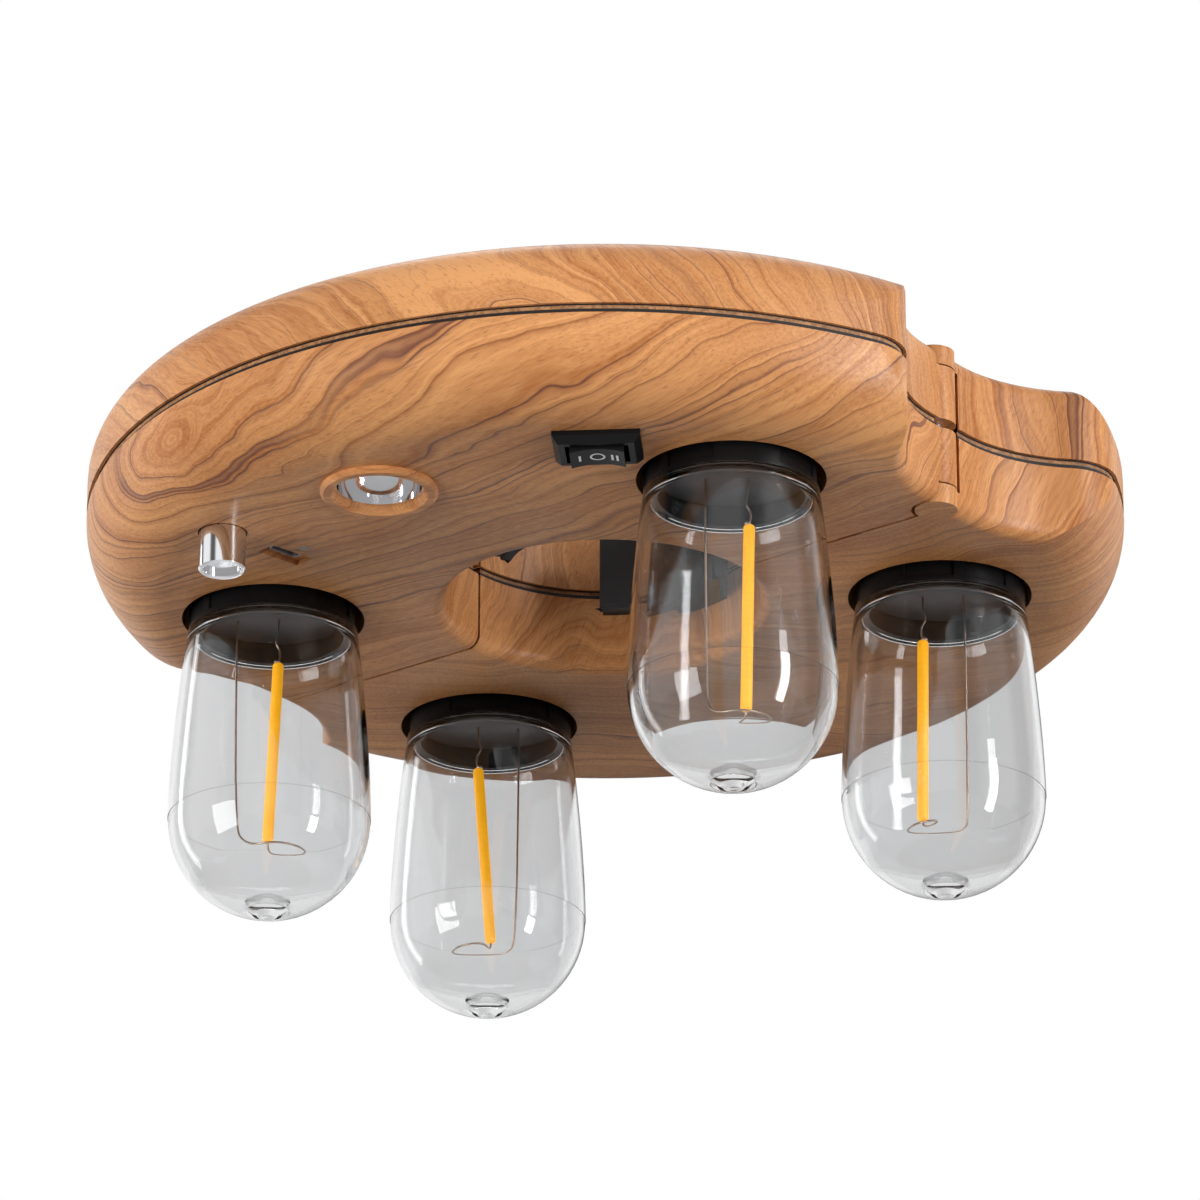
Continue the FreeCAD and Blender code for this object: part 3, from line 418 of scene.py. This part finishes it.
def amber_coat_with_painted_glow():
    """Silicone coat of the filament: amber, with its chips as faint bands, and a painted glow from
    a weak emission where the real coat is slightly translucent.
    """
    f = Finish("amber_coat_with_painted_glow")
    place = f.object_place()
    wobble = f.noise(place, 420.0, 3.0)
    bands = f.node("TexWave", {"Vector": place, "Scale": 190.0, "Distortion": 1.2},
                   bands_direction="Z").outputs["Fac"]
    tone = f.mix(f.sum("MULTIPLY", bands, 0.35), tuple(colours().amber), (0.98, 0.48, 0.03))
    f.colour(f.mix(f.sum("MULTIPLY", wobble, 0.3), tone, (0.80, 0.30, 0.01)))
    f.bump(wobble, 0.3, 0.00015)
    f.set(Roughness=0.38)
    # Painted glow: the coat gives off a little light of its own, though it is no lamp.
    f.shader.inputs["Emission Color"].default_value = (1.0, 0.46, 0.002, 1.0)
    f.shader.inputs["Emission Strength"].default_value = 0.50
    return f.material


def white_mark():
    return speckled("white_mark", (0.80, 0.80, 0.79), 0.06, 800.0, 0.5)


def light_pipe():
    f = Finish("light_pipe")
    haze = f.noise(f.object_place(), 500.0, 2.0)
    f.colour(f.mix(haze, (0.42, 0.26, 0.16), (0.60, 0.42, 0.28)))
    f.set(Roughness=0.25, IOR=1.46)
    f.shader.inputs["Transmission Weight"].default_value = 0.35
    return f.material


def circuit_board():
    """Green board with darker tracks."""
    f = Finish("circuit_board")
    place = f.object_place()
    tracks = f.node("TexBrick", {"Vector": place, "Scale": 160.0,
                                 "Mortar Size": 0.06}).outputs["Fac"]
    f.colour(f.mix(tracks, (0.02, 0.14, 0.06), (0.05, 0.24, 0.11)))
    f.set(Roughness=0.35)
    return f.material


def led_face():
    """White board; the emitter's dome is yellow."""
    f = Finish("led_face")
    place = f.object_place()
    height = f.node("SeparateXYZ", {"Vector": place}).outputs["Z"]
    top = corners("spot_led")[1].z - 1.45 * MM
    dome = f.sum("LESS_THAN", height, top - 0.02 * MM)
    grit = f.noise(place, 900.0, 2.0)
    board = f.mix(grit, (0.72, 0.72, 0.70), (0.82, 0.82, 0.80))
    f.colour(f.mix(dome, board, (0.85, 0.62, 0.06)))
    f.set(Roughness=0.3)
    return f.material


def cell_wrap():
    """Shrink wrap in one colour, with its steel ends."""
    f = Finish("cell_wrap")
    place = f.object_place()
    reach = f.sum("ABSOLUTE", f.along(place, (1.0, 0.0, 0.0)))
    bare = f.sum("GREATER_THAN", reach, corners("battery_cells")[1].x - 1.6 * MM)
    crinkle = f.noise(place, 300.0, 3.0)
    wrap = f.mix(crinkle, (0.06, 0.16, 0.36), (0.10, 0.23, 0.46))
    f.colour(f.mix(bare, wrap, (0.60, 0.60, 0.60)))
    f.feed(f.shader.inputs["Metallic"], bare)
    f.bump(crinkle, 0.2, 0.0001)
    f.set(Roughness=0.3)
    return f.material


MAKERS = {maker.__name__: maker for maker in (
    raw_tongue_with_gap_shade, clear_plastic, black_plastic, disc_plastic, grip_rubber, bright_chrome,
    steel, lead_wire, amber_coat_with_painted_glow, white_mark, light_pipe, circuit_board, led_face, cell_wrap)}
made = {}


def finish(name):
    """The finish of that name, made once."""
    if name not in made:
        made[name] = wood_sheet(name) if name in WOOD_SHEETS else MAKERS[name]()
    return made[name]


def paint(node, name):
    """Gives a node of the frame its finish."""
    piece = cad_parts[node]
    piece.data.materials.clear()
    piece.data.materials.append(finish(name))


# --- modelling helpers ---------------------------------------------------------------------------
def add_piece(name, mesh_maker, body, finish_name, stands_for=()):
    """Turns a bmesh into a piece that rides on a body and stands for nodes of the frame."""
    mesh = bpy.data.meshes.new(name)
    mesh_maker.to_mesh(mesh)
    mesh_maker.free()
    piece = bpy.data.objects.new(name, mesh)
    bpy.context.scene.collection.objects.link(piece)
    mesh.materials.append(finish(finish_name))
    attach(piece, body)
    if stands_for:
        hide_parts(*stands_for)
    return piece


def smooth(mesh_maker, sharp_angle=35.0):
    """Shades smooth, and keeps the edges that turn by more than the angle sharp."""
    for face in mesh_maker.faces:
        face.smooth = True
    limit = math.radians(sharp_angle)
    for edge in mesh_maker.edges:
        if len(edge.link_faces) == 2 and edge.calc_face_angle(0.0) > limit:
            edge.smooth = False


def lathe(profile, centre, segments=96):
    """Spins a (radius, height) profile about the upright axis through centre."""
    bm = bmesh.new()
    line = [bm.verts.new((r, 0.0, z)) for r, z in profile]
    edges = [bm.edges.new(pair) for pair in zip(line, line[1:])]
    bmesh.ops.spin(bm, geom=line + edges, cent=(0, 0, 0), axis=(0, 0, 1), angle=math.tau,
                   steps=segments, use_merge=True, use_duplicate=False)
    bmesh.ops.remove_doubles(bm, verts=bm.verts[:], dist=1e-6)
    bmesh.ops.recalc_face_normals(bm, faces=bm.faces[:])
    bmesh.ops.translate(bm, verts=bm.verts[:], vec=centre)
    return bm


def arc(centre, radius, start, end, steps):
    """Points of a circle's arc in the (radius, height) plane, angles in degrees from outwards."""
    points = []
    for i in range(steps + 1):
        a = math.radians(start + (end - start) * i / steps)
        points.append((centre[0] + radius * math.cos(a), centre[1] + radius * math.sin(a)))
    return points


def merged_copy(node, sharp_angle=28.0):
    """Copy of a node's mesh with its corners joined and its curves shaded smooth."""
    bm = bmesh.new()
    bm.from_mesh(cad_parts[node].data)
    bmesh.ops.remove_doubles(bm, verts=bm.verts[:], dist=2e-6)
    smooth(bm, sharp_angle)
    return bm


def dress(node, body, finish_name, sharp_angle=28.0):
    """A smooth-shaded piece in place of a node, with the node's own shape."""
    return add_piece(node + "_piece", merged_copy(node, sharp_angle), body, finish_name,
                     (node,))


def swept_wires(name, routes, radius):
    """Round wires along smooth lines through their control points, as one mesh."""
    curve = bpy.data.curves.new(name, "CURVE")
    curve.dimensions = "3D"
    curve.bevel_depth = radius
    curve.bevel_resolution = 2
    curve.use_fill_caps = True
    for route in routes:
        spline = curve.splines.new("NURBS")
        spline.points.add(len(route) - 1)
        for point, place in zip(spline.points, route):
            point.co = (*place, 1.0)
        spline.order_u = 3
        spline.use_endpoint_u = True
        spline.resolution_u = 8
    holder = bpy.data.objects.new(name + "_line", curve)
    bpy.context.scene.collection.objects.link(holder)
    bpy.context.view_layer.update()
    shape = holder.evaluated_get(bpy.context.evaluated_depsgraph_get())
    bm = bmesh.new()
    bm.from_mesh(bpy.data.meshes.new_from_object(shape))
    bpy.data.objects.remove(holder)
    bmesh.ops.remove_doubles(bm, verts=bm.verts[:], dist=1e-7)
    bmesh.ops.recalc_face_normals(bm, faces=bm.faces[:])
    smooth(bm, 60.0)
    return bm


# --- housing -------------------------------------------------------------------------------------
def bare_tongue(shell):
    """Leaves the print off the tongue that shows in the reveal."""
    shell.data.materials.append(finish("raw_tongue_with_gap_shade"))
    for face in shell.data.polygons:
        if face.center.z > REVEAL_FOOT + 0.02 * MM:
            face.material_index = 1


class UMBRELLA_OT_housing(bpy.types.Operator):
    """Dresses the four shells and the latch hook in printed wood, and the pins and screws in steel
    """

    bl_idname = "umbrella_light.housing"
    bl_label = "Housing"

    def execute(self, context):
        for half in ("front", "rear"):
            for level in ("lower", "upper"):
                shell = dress(f"{half}_{level}_shell", f"{half}_half",
                              f"wood_{half}_{level}")
                if level == "lower":
                    bare_tongue(shell)
        dress("latch_hook", "latch", "wood_fitting")
        dress("hinge_pin", "rear_half", "steel")
        dress("latch_pin", "front_half", "steel")
        for half in ("front", "rear"):
            paint(f"{half}_shell_screws", "steel")
        return {"FINISHED"}


# --- bulbs ---------------------------------------------------------------------------------------
def bulb_centre(number):
    low, high = corners(f"bulb_{number}_glass")
    return Vector(((low.x + high.x) / 2, (low.y + high.y) / 2, 0.0))


def inner_end(line, r_end, r_inside):
    """The inside of the round end: a shallow floor with a crisp rim, then the dome."""
    rim_r, sag = r_end * sizes().floor_share, r_end * FLOOR_SAG
    turn = math.degrees(math.acos(rim_r / r_inside))
    rim_z = line - math.sqrt(r_inside ** 2 - rim_r ** 2)
    bowl_r = (rim_r ** 2 + sag ** 2) / (2 * sag)
    reach = math.degrees(math.asin(rim_r / bowl_r))
    floor = arc((0, rim_z - sag + bowl_r), bowl_r, -90, -90 + reach, 10)
    return floor + arc((0, line), r_inside, -turn, 0, 10)[1:]


def shell_profile(number):
    """Closed (radius, height) outline of a clear bulb: outside down to the nub, then inside up."""
    wall = sizes().glass_wall
    low, high = corners(f"bulb_{number}_glass")
    collar_low = corners(f"bulb_{number}_collar")[0].z
    tip, r_end = low.z, (high.x - low.x) / 2
    r_top = r_end - FLARE
    neck_r = r_top - NECK_INSET
    line = tip + 0.6 * MM + r_end
    flare = [(r_top + (r_end - r_top) * (1 - (1 - i / 10) ** 1.6),
              collar_low + (line - collar_low) * i / 10) for i in range(11)]
    dome = arc((0, line), r_end - MOULD_STEP, 0, -76, 18)
    edge_r, edge_z = dome[-1]
    nub = [(edge_r - 0.5 * MM, edge_z + 0.05 * MM), (edge_r - 1.1 * MM, edge_z + 0.55 * MM)]
    nub += [(r * MM, tip + rise * MM) for r, rise in
            ((3.4, 1.15), (2.8, 0.85), (2.5, 0.35), (2.2, 0.06), (1.5, 0.0), (1.1, 0.15),
             (0.0, 0.25))]
    inner_flare = [(r - wall, z) for r, z in reversed(flare[:-1])][:-1]
    inside = inner_end(line, r_end, r_end - MOULD_STEP - wall) + inner_flare + [
        (r_top - wall - 0.15 * MM, collar_low - 1.2 * MM),
        (r_top - wall - 0.7 * MM, collar_low - 0.6 * MM),
        (neck_r - wall, collar_low + 0.1 * MM), (neck_r - wall, high.z), (neck_r, high.z),
        (neck_r, collar_low), (r_top - 0.3 * MM, collar_low)]
    return flare + dome + nub + inside + [flare[0]]


class UMBRELLA_OT_bulb_shells(bpy.types.Operator):
    """Makes the clear bulbs: neck, shoulder, flared wall, round end with its moulded nub"""

    bl_idname = "umbrella_light.bulb_shells"
    bl_label = "Bulb shells"

    def execute(self, context):
        for number in BULBS:
            bm = lathe(shell_profile(number), bulb_centre(number), 128)
            smooth(bm, 40.0)
            add_piece(f"bulb_{number}_shell", bm, BULB_BODY[number],
                      "clear_plastic", (f"bulb_{number}_glass",))
        return {"FINISHED"}


class UMBRELLA_OT_bulb_fittings(bpy.types.Operator):
    """Dresses the collars, discs, filaments and lead wires"""

    bl_idname = "umbrella_light.bulb_fittings"
    bl_label = "Bulb fittings"

    def execute(self, context):
        for number in BULBS:
            body = BULB_BODY[number]
            collar = dress(f"bulb_{number}_collar", body, "black_plastic")
            softened_edges(collar, 0.2 * MM)
            dress(f"bulb_{number}_disc", body, "disc_plastic")
            add_piece(f"bulb_{number}_filament_piece", filament_stick(number), body,
                      "amber_coat_with_painted_glow", (f"bulb_{number}_filament",))
            add_piece(f"bulb_{number}_lead_wires", lead_wires(number), body,
                      "lead_wire", (f"bulb_{number}_leads",))
        return {"FINISHED"}


def set_in_bulb(bm, number):
    """Turns a bmesh from the wires' own plane into its bulb's place."""
    bmesh.ops.rotate(bm, cent=(0, 0, 0), verts=bm.verts[:],
                     matrix=Matrix.Rotation(math.radians(WIRE_TURN[number]), 3, "Z"))
    bmesh.ops.translate(bm, vec=bulb_centre(number), verts=bm.verts[:])
    return bm


def filament_stick(number):
    """Coated stick with rounded ends that leans by its own amount."""
    low, high = corners(f"bulb_{number}_filament")
    off, lean = FILAMENT_OFF[number], FILAMENT_LEAN[number]
    length = math.hypot(high.z - low.z, lean)
    flat, end_r = FILAMENT_R - FILAMENT_ROUND, FILAMENT_ROUND
    profile = ([(0.0, 0.0)] + arc((flat, end_r), end_r, -90, 0, 6)
               + arc((flat, length - end_r), end_r, 0, 90, 6) + [(0.0, length)])
    bm = lathe(profile, (0, 0, 0), 32)
    bmesh.ops.rotate(bm, cent=(0, 0, 0), verts=bm.verts[:],
                     matrix=Matrix.Rotation(-math.asin(lean / length), 3, "Y"))
    bmesh.ops.translate(bm, vec=(lean - off, 0, low.z), verts=bm.verts[:])
    smooth(bm, 60.0)
    return set_in_bulb(bm, number)


def lead_wires(number):
    """The short kinked lead with its solder ball, and the return wire with its loop below."""
    start = corners(f"bulb_{number}_disc")[1].z
    low, high = corners(f"bulb_{number}_filament")
    off, lean = FILAMENT_OFF[number], FILAMENT_LEAN[number]
    side, foot, hang = WIRE_APART - off, low.z, low.z - LOOP_HANG
    short = [(-off, 0, start)] + [(x * MM - off, 0, high.z + rise * MM) for x, rise in
                                  ((0.0, 8.0), (1.0, 5.6), (-0.8, 3.0), (0.0, 0.0))]
    ring = [(LOOP_R * math.cos(a) + LOOP_SHIFT, LOOP_R * math.sin(a), hang)
            for a in map(math.radians, LOOP_ANGLES)]
    back = [(side, 0, start), (side, 0, foot + 5.0 * MM), *ring, (lean - off, 0, hang),
            (lean - off, 0, foot + 0.3 * MM)]
    bm = swept_wires(f"bulb_{number}_wires", (short, back), sizes().wire_radius)
    ball = bmesh.ops.create_uvsphere(bm, u_segments=20, v_segments=12, radius=SOLDER_R)["verts"]
    bmesh.ops.scale(bm, vec=(1.1, 0.9, 0.8), verts=ball)
    bmesh.ops.translate(bm, vec=(0.35 * MM - off, 0, high.z + 0.3 * MM), verts=ball)
    smooth(bm, 60.0)
    return set_in_bulb(bm, number)


def softened_edges(piece, width, segments=2):
    """Rounds a piece's sharp edges a little, so that they catch the light."""
    bevel = piece.modifiers.new("Edges", "BEVEL")
    bevel.width = width
    bevel.segments = segments
    bevel.limit_method = "ANGLE"
    bevel.angle_limit = math.radians(40)
    bevel.harden_normals = False


# --- spotlight -----------------------------------------------------------------------------------
class UMBRELLA_OT_spotlight(bpy.types.Operator):
    """Makes the bright reflector and dresses the trim ring and the emitter"""

    bl_idname = "umbrella_light.spotlight"
    bl_label = "Spotlight"

    def execute(self, context):
        dress("spot_trim_ring", "front_half", "wood_fitting")
        dress("spot_led", "front_half", "led_face")
        low, high = corners("spot_reflector")
        centre = Vector(((low.x + high.x) / 2, (low.y + high.y) / 2, 0.0))
        mouth, neck, deep = SPOT_MOUTH_R, sizes().lamp_neck, high.z - low.z
        inner = [(mouth - (mouth - neck) * t ** 1.75, low.z + deep * t)
                 for t in [i / 12 for i in range(13)]]
        outer = [(r + SPOT_WALL, z) for r, z in reversed(inner)]
        rim = [(11.1 * MM, low.z + 3.0 * MM), (13.4 * MM, low.z + 3.0 * MM),
               (13.4 * MM, low.z + 2.1 * MM), (11.05 * MM, low.z + 2.1 * MM), (11.05 * MM, low.z)]
        bm = lathe(inner + outer[:-2] + rim + [inner[0]], centre, 96)
        smooth(bm, 50.0)
        add_piece("spot_reflector_piece", bm, "front_half", "bright_chrome",
                  ("spot_reflector",))
        return {"FINISHED"}


# --- controls ------------------------------------------------------------------------------------
class UMBRELLA_OT_controls(bpy.types.Operator):
    """Dresses the rocker switch with its marks, the push button, the socket and the indicator"""

    bl_idname = "umbrella_light.controls"
    bl_label = "Controls"

    def execute(self, context):
        housing = dress("rocker_switch_housing", "front_half", "black_plastic")
        softened_edges(housing, 0.18 * MM)
        tilting = dress("rocker", "rocker", "black_plastic")
        softened_edges(tilting, 0.25 * MM, 3)
        rocker_marks()
        button = dress("push_button", "push_button", "bright_chrome")
        softened_edges(button, 0.12 * MM)
        dress("usb_socket", "front_half", "steel")
        dress("charge_light_pipe", "front_half", "light_pipe")
        return {"FINISHED"}


def rocker_marks():
    """Pad-printed I, O and II on the dished face of the rocker."""
    turn, lift = math.radians(SWITCH_TURN), 0.04 * MM
    centre = middle("rocker")
    face_z = corners("rocker")[0].z
    bm = bmesh.new()
    for x in (-4.2, 3.5, 4.7):
        bar = bmesh.ops.create_grid(bm, x_segments=2, y_segments=6, size=0.5)["verts"]
        bmesh.ops.scale(bm, vec=(0.55 * MM, 3.0 * MM, 1.0), verts=bar)
        bmesh.ops.translate(bm, vec=(x * MM, 0, 0), verts=bar)
    ring_line = [bm.verts.new((r * MM, 0, 0)) for r in (1.35, 1.85)]
    ring_edge = [bm.edges.new(ring_line)]
    bmesh.ops.spin(bm, geom=ring_line + ring_edge, cent=(0, 0, 0), axis=(0, 0, 1),
                   angle=math.tau, steps=40, use_merge=True, use_duplicate=False)
    bmesh.ops.remove_doubles(bm, verts=bm.verts[:], dist=1e-7)
    for vert in bm.verts:
        vert.co.z = face_z + ROCKER_DISH * (1 - (vert.co.x / ROCKER_HALF) ** 2) - lift
    bmesh.ops.recalc_face_normals(bm, faces=bm.faces[:])
    for face in bm.faces:
        if face.normal.z > 0:
            face.normal_flip()
    bmesh.ops.rotate(bm, cent=(0, 0, 0), matrix=Matrix.Rotation(turn, 3, "Z"), verts=bm.verts[:])
    bmesh.ops.translate(bm, vec=(centre.x, centre.y, 0), verts=bm.verts[:])
    add_piece("rocker_marks", bm, "rocker", "white_mark")


# --- pole grip and inner works -------------------------------------------------------------------
def pressed_spring(node, body):
    """Coil spring dressed in steel, on a mesh of its own."""
    spring = dress(node, body, "steel", 60.0)
    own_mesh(spring)


class UMBRELLA_OT_pole_grip(bpy.types.Operator):
    """Dresses the jaws, their rubber pads and their springs"""

    bl_idname = "umbrella_light.pole_grip"
    bl_label = "Pole grip"

    def execute(self, context):
        for half in ("front", "rear"):
            jaw = dress(f"{half}_jaw", f"{half}_jaw", "black_plastic")
            softened_edges(jaw, 0.25 * MM)
            pad = dress(f"{half}_jaw_pad", f"{half}_jaw", "grip_rubber")
            softened_edges(pad, 0.5 * MM, 3)
            pressed_spring(f"{half}_jaw_spring", f"{half}_half")
        return {"FINISHED"}


class UMBRELLA_OT_inner_works(bpy.types.Operator):
    """Dresses the board, the battery and the button's spring inside the housing"""

    bl_idname = "umbrella_light.inner_works"
    bl_label = "Inner works"

    def execute(self, context):
        for node, name in (("main_board", "circuit_board"), ("battery_cells", "cell_wrap"),
                           ("battery_tray", "black_plastic")):
            paint(node, name)
        pressed_spring("push_button_spring", "front_half")
        return {"FINISHED"}


# --- stage ---------------------------------------------------------------------------------------
AIM = Vector((0.0, 0.0, UNDERSIDE))
CAMERA_AZIMUTH = 36.92
CAMERA_ELEVATION = -23.27
CAMERA_DISTANCE = 1.7509
CAMERA_LENS = 210.1
AIM_PIXEL = (605.26, 608.62)
PHOTO_SIDE = 1200.0


def aim_camera():
    """Camera at the photograph's angle and distance, with the aim point where it lies there."""
    a, e = math.radians(CAMERA_AZIMUTH), math.radians(CAMERA_ELEVATION)
    back = Vector((math.sin(a) * math.cos(e), -math.cos(a) * math.cos(e), math.sin(e)))
    lens = bpy.data.cameras.new("camera")
    lens.lens = CAMERA_LENS
    lens.sensor_width = 36.0
    lens.shift_x = (PHOTO_SIDE / 2 - AIM_PIXEL[0]) / PHOTO_SIDE
    lens.shift_y = (AIM_PIXEL[1] - PHOTO_SIDE / 2) / PHOTO_SIDE
    camera = bpy.data.objects.new("camera", lens)
    bpy.context.scene.collection.objects.link(camera)
    camera.rotation_mode = "QUATERNION"
    camera.location = AIM + back * CAMERA_DISTANCE
    camera.rotation_quaternion = (-back).to_track_quat("-Z", "Y")
    bpy.context.scene.camera = camera


def soft_box(name, place, size, power, mirrored=True):
    """Tall soft lamp that faces the object, with or without its own reflection."""
    lamp = bpy.data.lights.new(name, "AREA")
    lamp.energy = power
    lamp.shape = "RECTANGLE"
    lamp.size, lamp.size_y = size
    holder = bpy.data.objects.new(name, lamp)
    bpy.context.scene.collection.objects.link(holder)
    holder.visible_glossy = mirrored
    holder.location = place
    holder.rotation_mode = "QUATERNION"
    holder.rotation_quaternion = (AIM - Vector(place)).to_track_quat("-Z", "Y")


class Surroundings(Finish):
    """The world's node tree, with the same short calls."""

    def __init__(self, name):
        self.world = bpy.data.worlds.new(name)
        bpy.context.scene.world = self.world
        self.world.use_nodes = True
        self.nodes = self.world.node_tree.nodes
        self.links = self.world.node_tree.links
        self.shader = self.nodes["Background"]


def studio():
    """White to the eye and through glass, banded like soft boxes to gloss, dim from below."""
    w = Surroundings("studio")
    ray = w.node("LightPath").outputs
    toward = w.node("SeparateXYZ", {"Vector": w.node("TexCoord").outputs["Generated"]}).outputs
    compass = w.sum("ARCTAN2", toward["Y"], toward["X"])
    bands = w.sum("SINE", w.sum("ADD", w.sum("MULTIPLY", compass, 5.0), 0.6))
    share = w.node("MapRange", {"Value": bands, "From Min": -1.0}).outputs["Result"]
    boxes = w.ramp(share, (0.10, 0.12), (0.55, 1.0))
    through = w.ramp(share, (0.0, 0.72), (0.5, 1.0))
    ambient = w.node("MapRange", {"Value": toward["Z"], "From Min": -0.5, "From Max": 0.6,
                                  "To Min": 0.03, "To Max": 0.42}).outputs["Result"]
    level = w.node("Mix", {"Factor": ray["Is Glossy Ray"], 2: ambient, 3: boxes},
                   data_type="FLOAT").outputs[0]
    for kind, shown in (("Is Transmission Ray", through), ("Is Camera Ray", 1.0)):
        level = w.node("Mix", {"Factor": ray[kind], 2: level, 3: shown},
                       data_type="FLOAT").outputs[0]
    w.shader.inputs["Color"].default_value = (1.0, 1.0, 1.0, 1.0)
    w.feed(w.shader.inputs["Strength"], level)


def pale_floor():
    """Pale floor below the light: it takes the shadow and hardly lights the object."""
    bm = bmesh.new()
    bmesh.ops.create_grid(bm, x_segments=1, y_segments=1, size=9.0)
    bmesh.ops.translate(bm, vec=(0, 0, -2.4), verts=bm.verts[:])
    mesh = bpy.data.meshes.new("floor")
    bm.to_mesh(mesh)
    bm.free()
    floor = bpy.data.objects.new("floor", mesh)
    bpy.context.scene.collection.objects.link(floor)
    f = Finish("pale_floor")
    pale = f.mix(f.noise(f.object_place(), 3.0), (0.80, 0.80, 0.80), (0.83, 0.83, 0.83))
    ray = f.node("LightPath").outputs
    seen = f.mix(ray["Is Glossy Ray"], pale, (0.45, 0.45, 0.45))
    f.colour(f.mix(ray["Is Diffuse Ray"], seen, (0.12, 0.12, 0.12)))
    f.set(Roughness=0.9, Emission_Color=(1.0, 1.0, 1.0, 1.0))
    glow = f.sum("MULTIPLY", ray["Is Camera Ray"], 0.65)
    glow = f.sum("ADD", glow, f.sum("MULTIPLY", ray["Is Transmission Ray"], 0.42))
    glow = f.sum("ADD", glow, f.sum("MULTIPLY", ray["Is Glossy Ray"], 0.24))
    f.feed(f.shader.inputs["Emission Strength"], glow)
    mesh.materials.append(f.material)


class UMBRELLA_OT_stage(bpy.types.Operator):
    """Makes the camera, the soft lamps, the white surroundings and the pale floor"""

    bl_idname = "umbrella_light.stage"
    bl_label = "Stage"

    def execute(self, context):
        aim_camera()
        studio()
        soft_box("key_lamp", (-0.7, -2.40, -0.45), (1.3, 1.3), 59.0, mirrored=False)
        soft_box("side_lamp", (2.65, 0.15, -0.10), (0.45, 2.4), 78.0)
        soft_box("strip_lamp", (-2.3, -0.35, 0.10), (0.3, 2.4), 8.0)
        soft_box("top_lamp", (-0.8, 1.1, 2.4), (1.2, 1.2), 10.0)
        pale_floor()
        context.scene.view_settings.view_transform = "Standard"
        return {"FINISHED"}


# --- panel and registration ----------------------------------------------------------------------
STEPS = (UMBRELLA_OT_stage, UMBRELLA_OT_housing, UMBRELLA_OT_bulb_shells, UMBRELLA_OT_bulb_fittings,
         UMBRELLA_OT_spotlight, UMBRELLA_OT_controls, UMBRELLA_OT_pole_grip,
         UMBRELLA_OT_inner_works)


class UMBRELLA_PT_panel(bpy.types.Panel):
    """Lists the sizes, the colours and the steps"""

    bl_idname = "UMBRELLA_PT_panel"
    bl_label = "Umbrella Light"
    bl_space_type = "VIEW_3D"
    bl_region_type = "UI"
    bl_category = "Umbrella Light"

    def draw(self, context):
        for group in (context.scene.umbrella_light_sizes, context.scene.umbrella_light_colours):
            for name in group.__annotations__:
                self.layout.prop(group, name)
        for step in STEPS:
            self.layout.operator(step.bl_idname)


CLASSES = (LightSizes, LightColours, *STEPS, UMBRELLA_PT_panel)


def register():
    for item in CLASSES:
        bpy.utils.register_class(item)
    bpy.types.Scene.umbrella_light_sizes = PointerProperty(type=LightSizes)
    bpy.types.Scene.umbrella_light_colours = PointerProperty(type=LightColours)


def unregister():
    del bpy.types.Scene.umbrella_light_colours
    del bpy.types.Scene.umbrella_light_sizes
    for item in reversed(CLASSES):
        bpy.utils.unregister_class(item)


def main():
    """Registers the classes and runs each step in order."""
    register()
    for step in STEPS:
        group, name = step.bl_idname.split(".")
        getattr(getattr(bpy.ops, group), name)()


if __name__ == "__main__":
    main()
